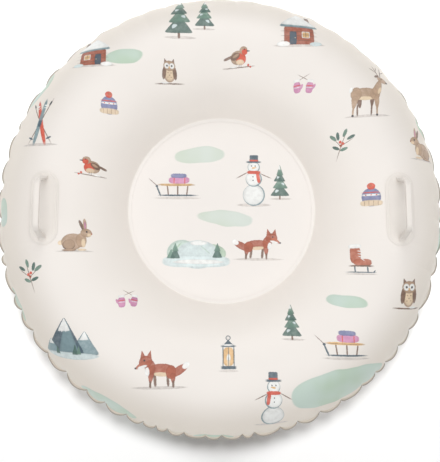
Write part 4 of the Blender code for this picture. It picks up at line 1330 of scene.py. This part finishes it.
def filmMaterial(name, slots, patchStrength):
    material, shader = newMaterial(name)
    scales = filmSettings["scales"]
    flat = stored("flatPlace", "Vector")
    fine = noise(flat, scales["hand"], 1, "Color").split()
    slow = noise(flat, scales["slow"], 2, "Color").split()
    wash = noise(flat, scales["wash"], 3, roughness=0.6)
    cloud = noise(flat, scales["cloud"], 2)
    bays = noise(flat, scales["bay"], 1, "Color").split()
    here = flat.split()
    handWobble = printSettings["wobble"] * printSettings["handShare"]
    slowWobble = printSettings["wobble"] * printSettings["slowShare"]
    shaken = [here[i] + (fine[i] - 0.5) * handWobble + (slow[i] - 0.5) * slowWobble for i in range(2)]
    reach = (here[0] * here[0] + here[1] * here[1]).maths("SQRT")
    cream, innerPaintedLightCream = filmSettings["cream"], filmSettings["innerPaintedLightCream"]
    # Painted light: the film is lighter down the inside of the ring, where it is in shade
    colour = reach.smooth(*filmSettings["innerReach"]).mixed(innerPaintedLightCream, cream)
    colour = reach.smooth(seatRadius - 0.001, seatRadius + 0.001).mixed(filmSettings["seatCream"], colour)
    # Painted shade: darker and warmer towards the rim, where the film turns away from the light
    colour = reach.smooth(*filmSettings["rimReach"]).mixed(colour, filmSettings["rimPaintedShadeCream"])
    colour = cloud.smooth(0.3, 0.7).mixed(colour.times(filmSettings["cloudShade"]), colour)
    # The pale patches
    places, sizes = stored("patchPlace"), stored("patchSize")
    x, y, cosine = places["Vector"].split()
    invLength, invHeight, narrow = sizes["Vector"].split()
    right = here[0] - x + (bays[0] - 0.5) * printSettings["patchBay"] * 2
    up = here[1] - y + (bays[1] - 0.5) * printSettings["patchBay"] * 2
    across, upward = turnedInto(right, up, cosine, places["Alpha"])
    norm = edgeOf(across * invLength, upward * invHeight, printSettings["patchPower"])
    outside = (norm - 1) * narrow + (fine[1] - 0.5) * printSettings["patchShake"]
    edge = printSettings["patchEdge"]
    pond = cloud.smooth(0.38, 0.62).mixed(linear(inks["mint"]), linear(inks["lagoon"]))
    pond = pond.times(1.0 - outside.smooth(-printSettings["patchRim"], 0) * printSettings["patchShade"])
    colour = ((1 - outside.smooth(-edge, edge)) * patchStrength).mixed(colour, pond)
    # The strokes, one over the other
    tone, toneSpread = printSettings["tint"]
    cover, coverSpread = printSettings["thin"]
    tint = tone + wash.smooth(0.25, 0.75) * toneSpread
    thin = cover - wash.smooth(0.35, 0.8) * coverSpread
    for number in range(slots):
        places, sizes, ink = (stored(f"stroke{label}{number}") for label in ("Place", "Size", "Ink"))
        x, y, cosine = places["Vector"].split()
        invWidth, invHeight, roundness = sizes["Vector"].split()
        across, upward = turnedInto(shaken[0] - x, shaken[1] - y, cosine, places["Alpha"])
        upward = upward * invHeight
        across = across * invWidth / (1 - sizes["Alpha"] * upward).maths("MAXIMUM", 0.02)
        shape = edgeOf(across, upward, roundness)
        covered = 1 - shape.smooth(1 - ink["Alpha"], 1 + ink["Alpha"])
        pooled = tint - shape.smooth(*printSettings["pool"]) * printSettings["poolShade"]
        colour = (covered * thin).mixed(colour, ink["Color"].times(pooled))
    # Painted shadow: the rim's margin a little darker, and a dark line of shade at its outer edge
    for key in ("weld", "edgeShadow"):
        low, high = filmSettings[key + "Reach"]
        share = reach.smooth(flatRimRadius + low, flatRimRadius + high) * filmSettings[key + "Shade"]
        colour = share.mixed(colour, filmSettings["rimShadowColour"])
    connect(shader, {
        "Normal": grained(flat, scales["grain"], 0.06),
        "Base Color": colour,
        "Roughness": filmSettings["roughness"] + cloud * filmSettings["roughnessSpread"]})
    return material


for piece, slot, layout, patches, patchStrength in (
        (upperSkin, "printed_film", ringLayout, ringPatches, 0.95),
        (rimWeld, "weld", ringLayout, ringPatches, 0.95),
        (lowerSkin, "sliding_film", underLayout, underPatches, 0.95),
        (seatPanel, "seat_film", seatLayout, seatPatches, 0.62)):
    paintPatches(piece, patches)
    layers = paintStrokes(piece, laidOut(layout))
    dress(piece, filmMaterial(piece.name + "Film", layers, patchStrength))


def mouldingMaterial(name, colour, roughness):
    material, shader = newMaterial(name)
    scales = filmSettings["mouldingScales"]
    place = Wire.node("ShaderNodeTexCoord", {}, {}, "Object")
    cloud = noise(place, scales["cloud"], 2)
    darker = [c * filmSettings["mouldingShade"] for c in colour]
    connect(shader, {
        "Base Color": cloud.smooth(0.3, 0.7).mixed(darker, colour),
        "Normal": grained(place, scales["grain"], 0.05)})
    shader.inputs["Roughness"].default_value = roughness
    return material


handleFinish = mouldingMaterial(
    "handleMoulding", filmSettings["handleCream"], filmSettings["handleRoughness"])
for name in ("leftHandlePad", "rightHandlePad", "leftHandleGrip", "rightHandleGrip"):
    dress(bpy.data.objects[name], handleFinish)
valveFinish = mouldingMaterial("valveMoulding", filmSettings["valveGrey"], filmSettings["valveRoughness"])
for name in ("valveFlange", "valveNeck", "valvePlug", "valveTether"):
    dress(bpy.data.objects[name], valveFinish)
dress(nodes["valve_flap"], valveFinish)
print("finishes")


# Floor, light and camera

studioSettings = {
    "key": {"place": (0.0, 1.9, 2.0), "size": 1.6, "power": 17},
    "fill": {"place": (-0.13, -0.45, 2.4), "size": 4.0, "power": 52.3},
    "floorKey": {"place": (0.0, 0.84, 3.1), "size": 0.8, "power": 68},
    "floorLeft": {"place": (-2.4, 1.2, 1.3), "size": 0.8, "power": 44},
    "floorRight": {"place": (2.4, 1.2, 1.3), "size": 0.8, "power": 44},
    "worldStrength": 0.30,
    "floorSize": 12,
    "floorDrop": 0.0002,
    "floorTone": 0.95,
    "floorRoughness": 0.8,
    "lens": 49.7,
    "distance": 1.296,
    "back": (-0.0272, -0.1423, 1.0),
    "shift": (-0.0040, -0.0469),
}


def areaLight(name, place, size, power):
    data = bpy.data.lights.new(name, "AREA")
    data.shape, data.size, data.energy = "DISK", size, power
    light = bpy.data.objects.new(name, data)
    bpy.context.scene.collection.objects.link(light)
    light.location = place
    light.rotation_euler = (Vector((0, 0, midHeight)) - Vector(place)).to_track_quat("-Z", "Y").to_euler()
    return light


deselectAll()
bpy.ops.mesh.primitive_plane_add(
    size=studioSettings["floorSize"], location=(0, 0, -studioSettings["floorDrop"]))
floor = named("floor")
bpy.ops.object.transform_apply(location=True)
material, shader = newMaterial("paleFloor")
shader.inputs["Base Color"].default_value = (*[studioSettings["floorTone"]] * 3, 1)
shader.inputs["Roughness"].default_value = studioSettings["floorRoughness"]
floor.data.materials.append(material)

for name in ("key", "fill", "floorKey", "floorLeft", "floorRight"):
    light = areaLight(name, **studioSettings[name])
    lit = bpy.data.collections.new(name + "Lights")      # the floor has lamps of its own
    lit.objects.link(floor)
    lit.collection_objects[0].light_linking.link_state = "INCLUDE" if name.startswith("floor") else "EXCLUDE"
    light.light_linking.receiver_collection = lit
world = bpy.data.worlds.new("studio")
bpy.context.scene.world = world
world.use_nodes = True
world.node_tree.nodes["Background"].inputs["Color"].default_value = (1, 1, 1, 1)
world.node_tree.nodes["Background"].inputs["Strength"].default_value = studioSettings["worldStrength"]
bpy.context.scene.view_settings.view_transform = "Standard"

camera = bpy.data.objects.new("camera", bpy.data.cameras.new("camera"))
bpy.context.scene.collection.objects.link(camera)
bpy.context.scene.camera = camera
camera.data.lens = studioSettings["lens"]
camera.data.shift_x, camera.data.shift_y = studioSettings["shift"]
back = Vector(studioSettings["back"]).normalized()
across = Vector((0, 1, 0)).cross(back).normalized()
camera.matrix_world = Matrix.Translation(
    Vector((0, 0, midHeight)) + back * studioSettings["distance"]) @ Matrix(
        (across, back.cross(across), back)).transposed().to_4x4()
print("studio")
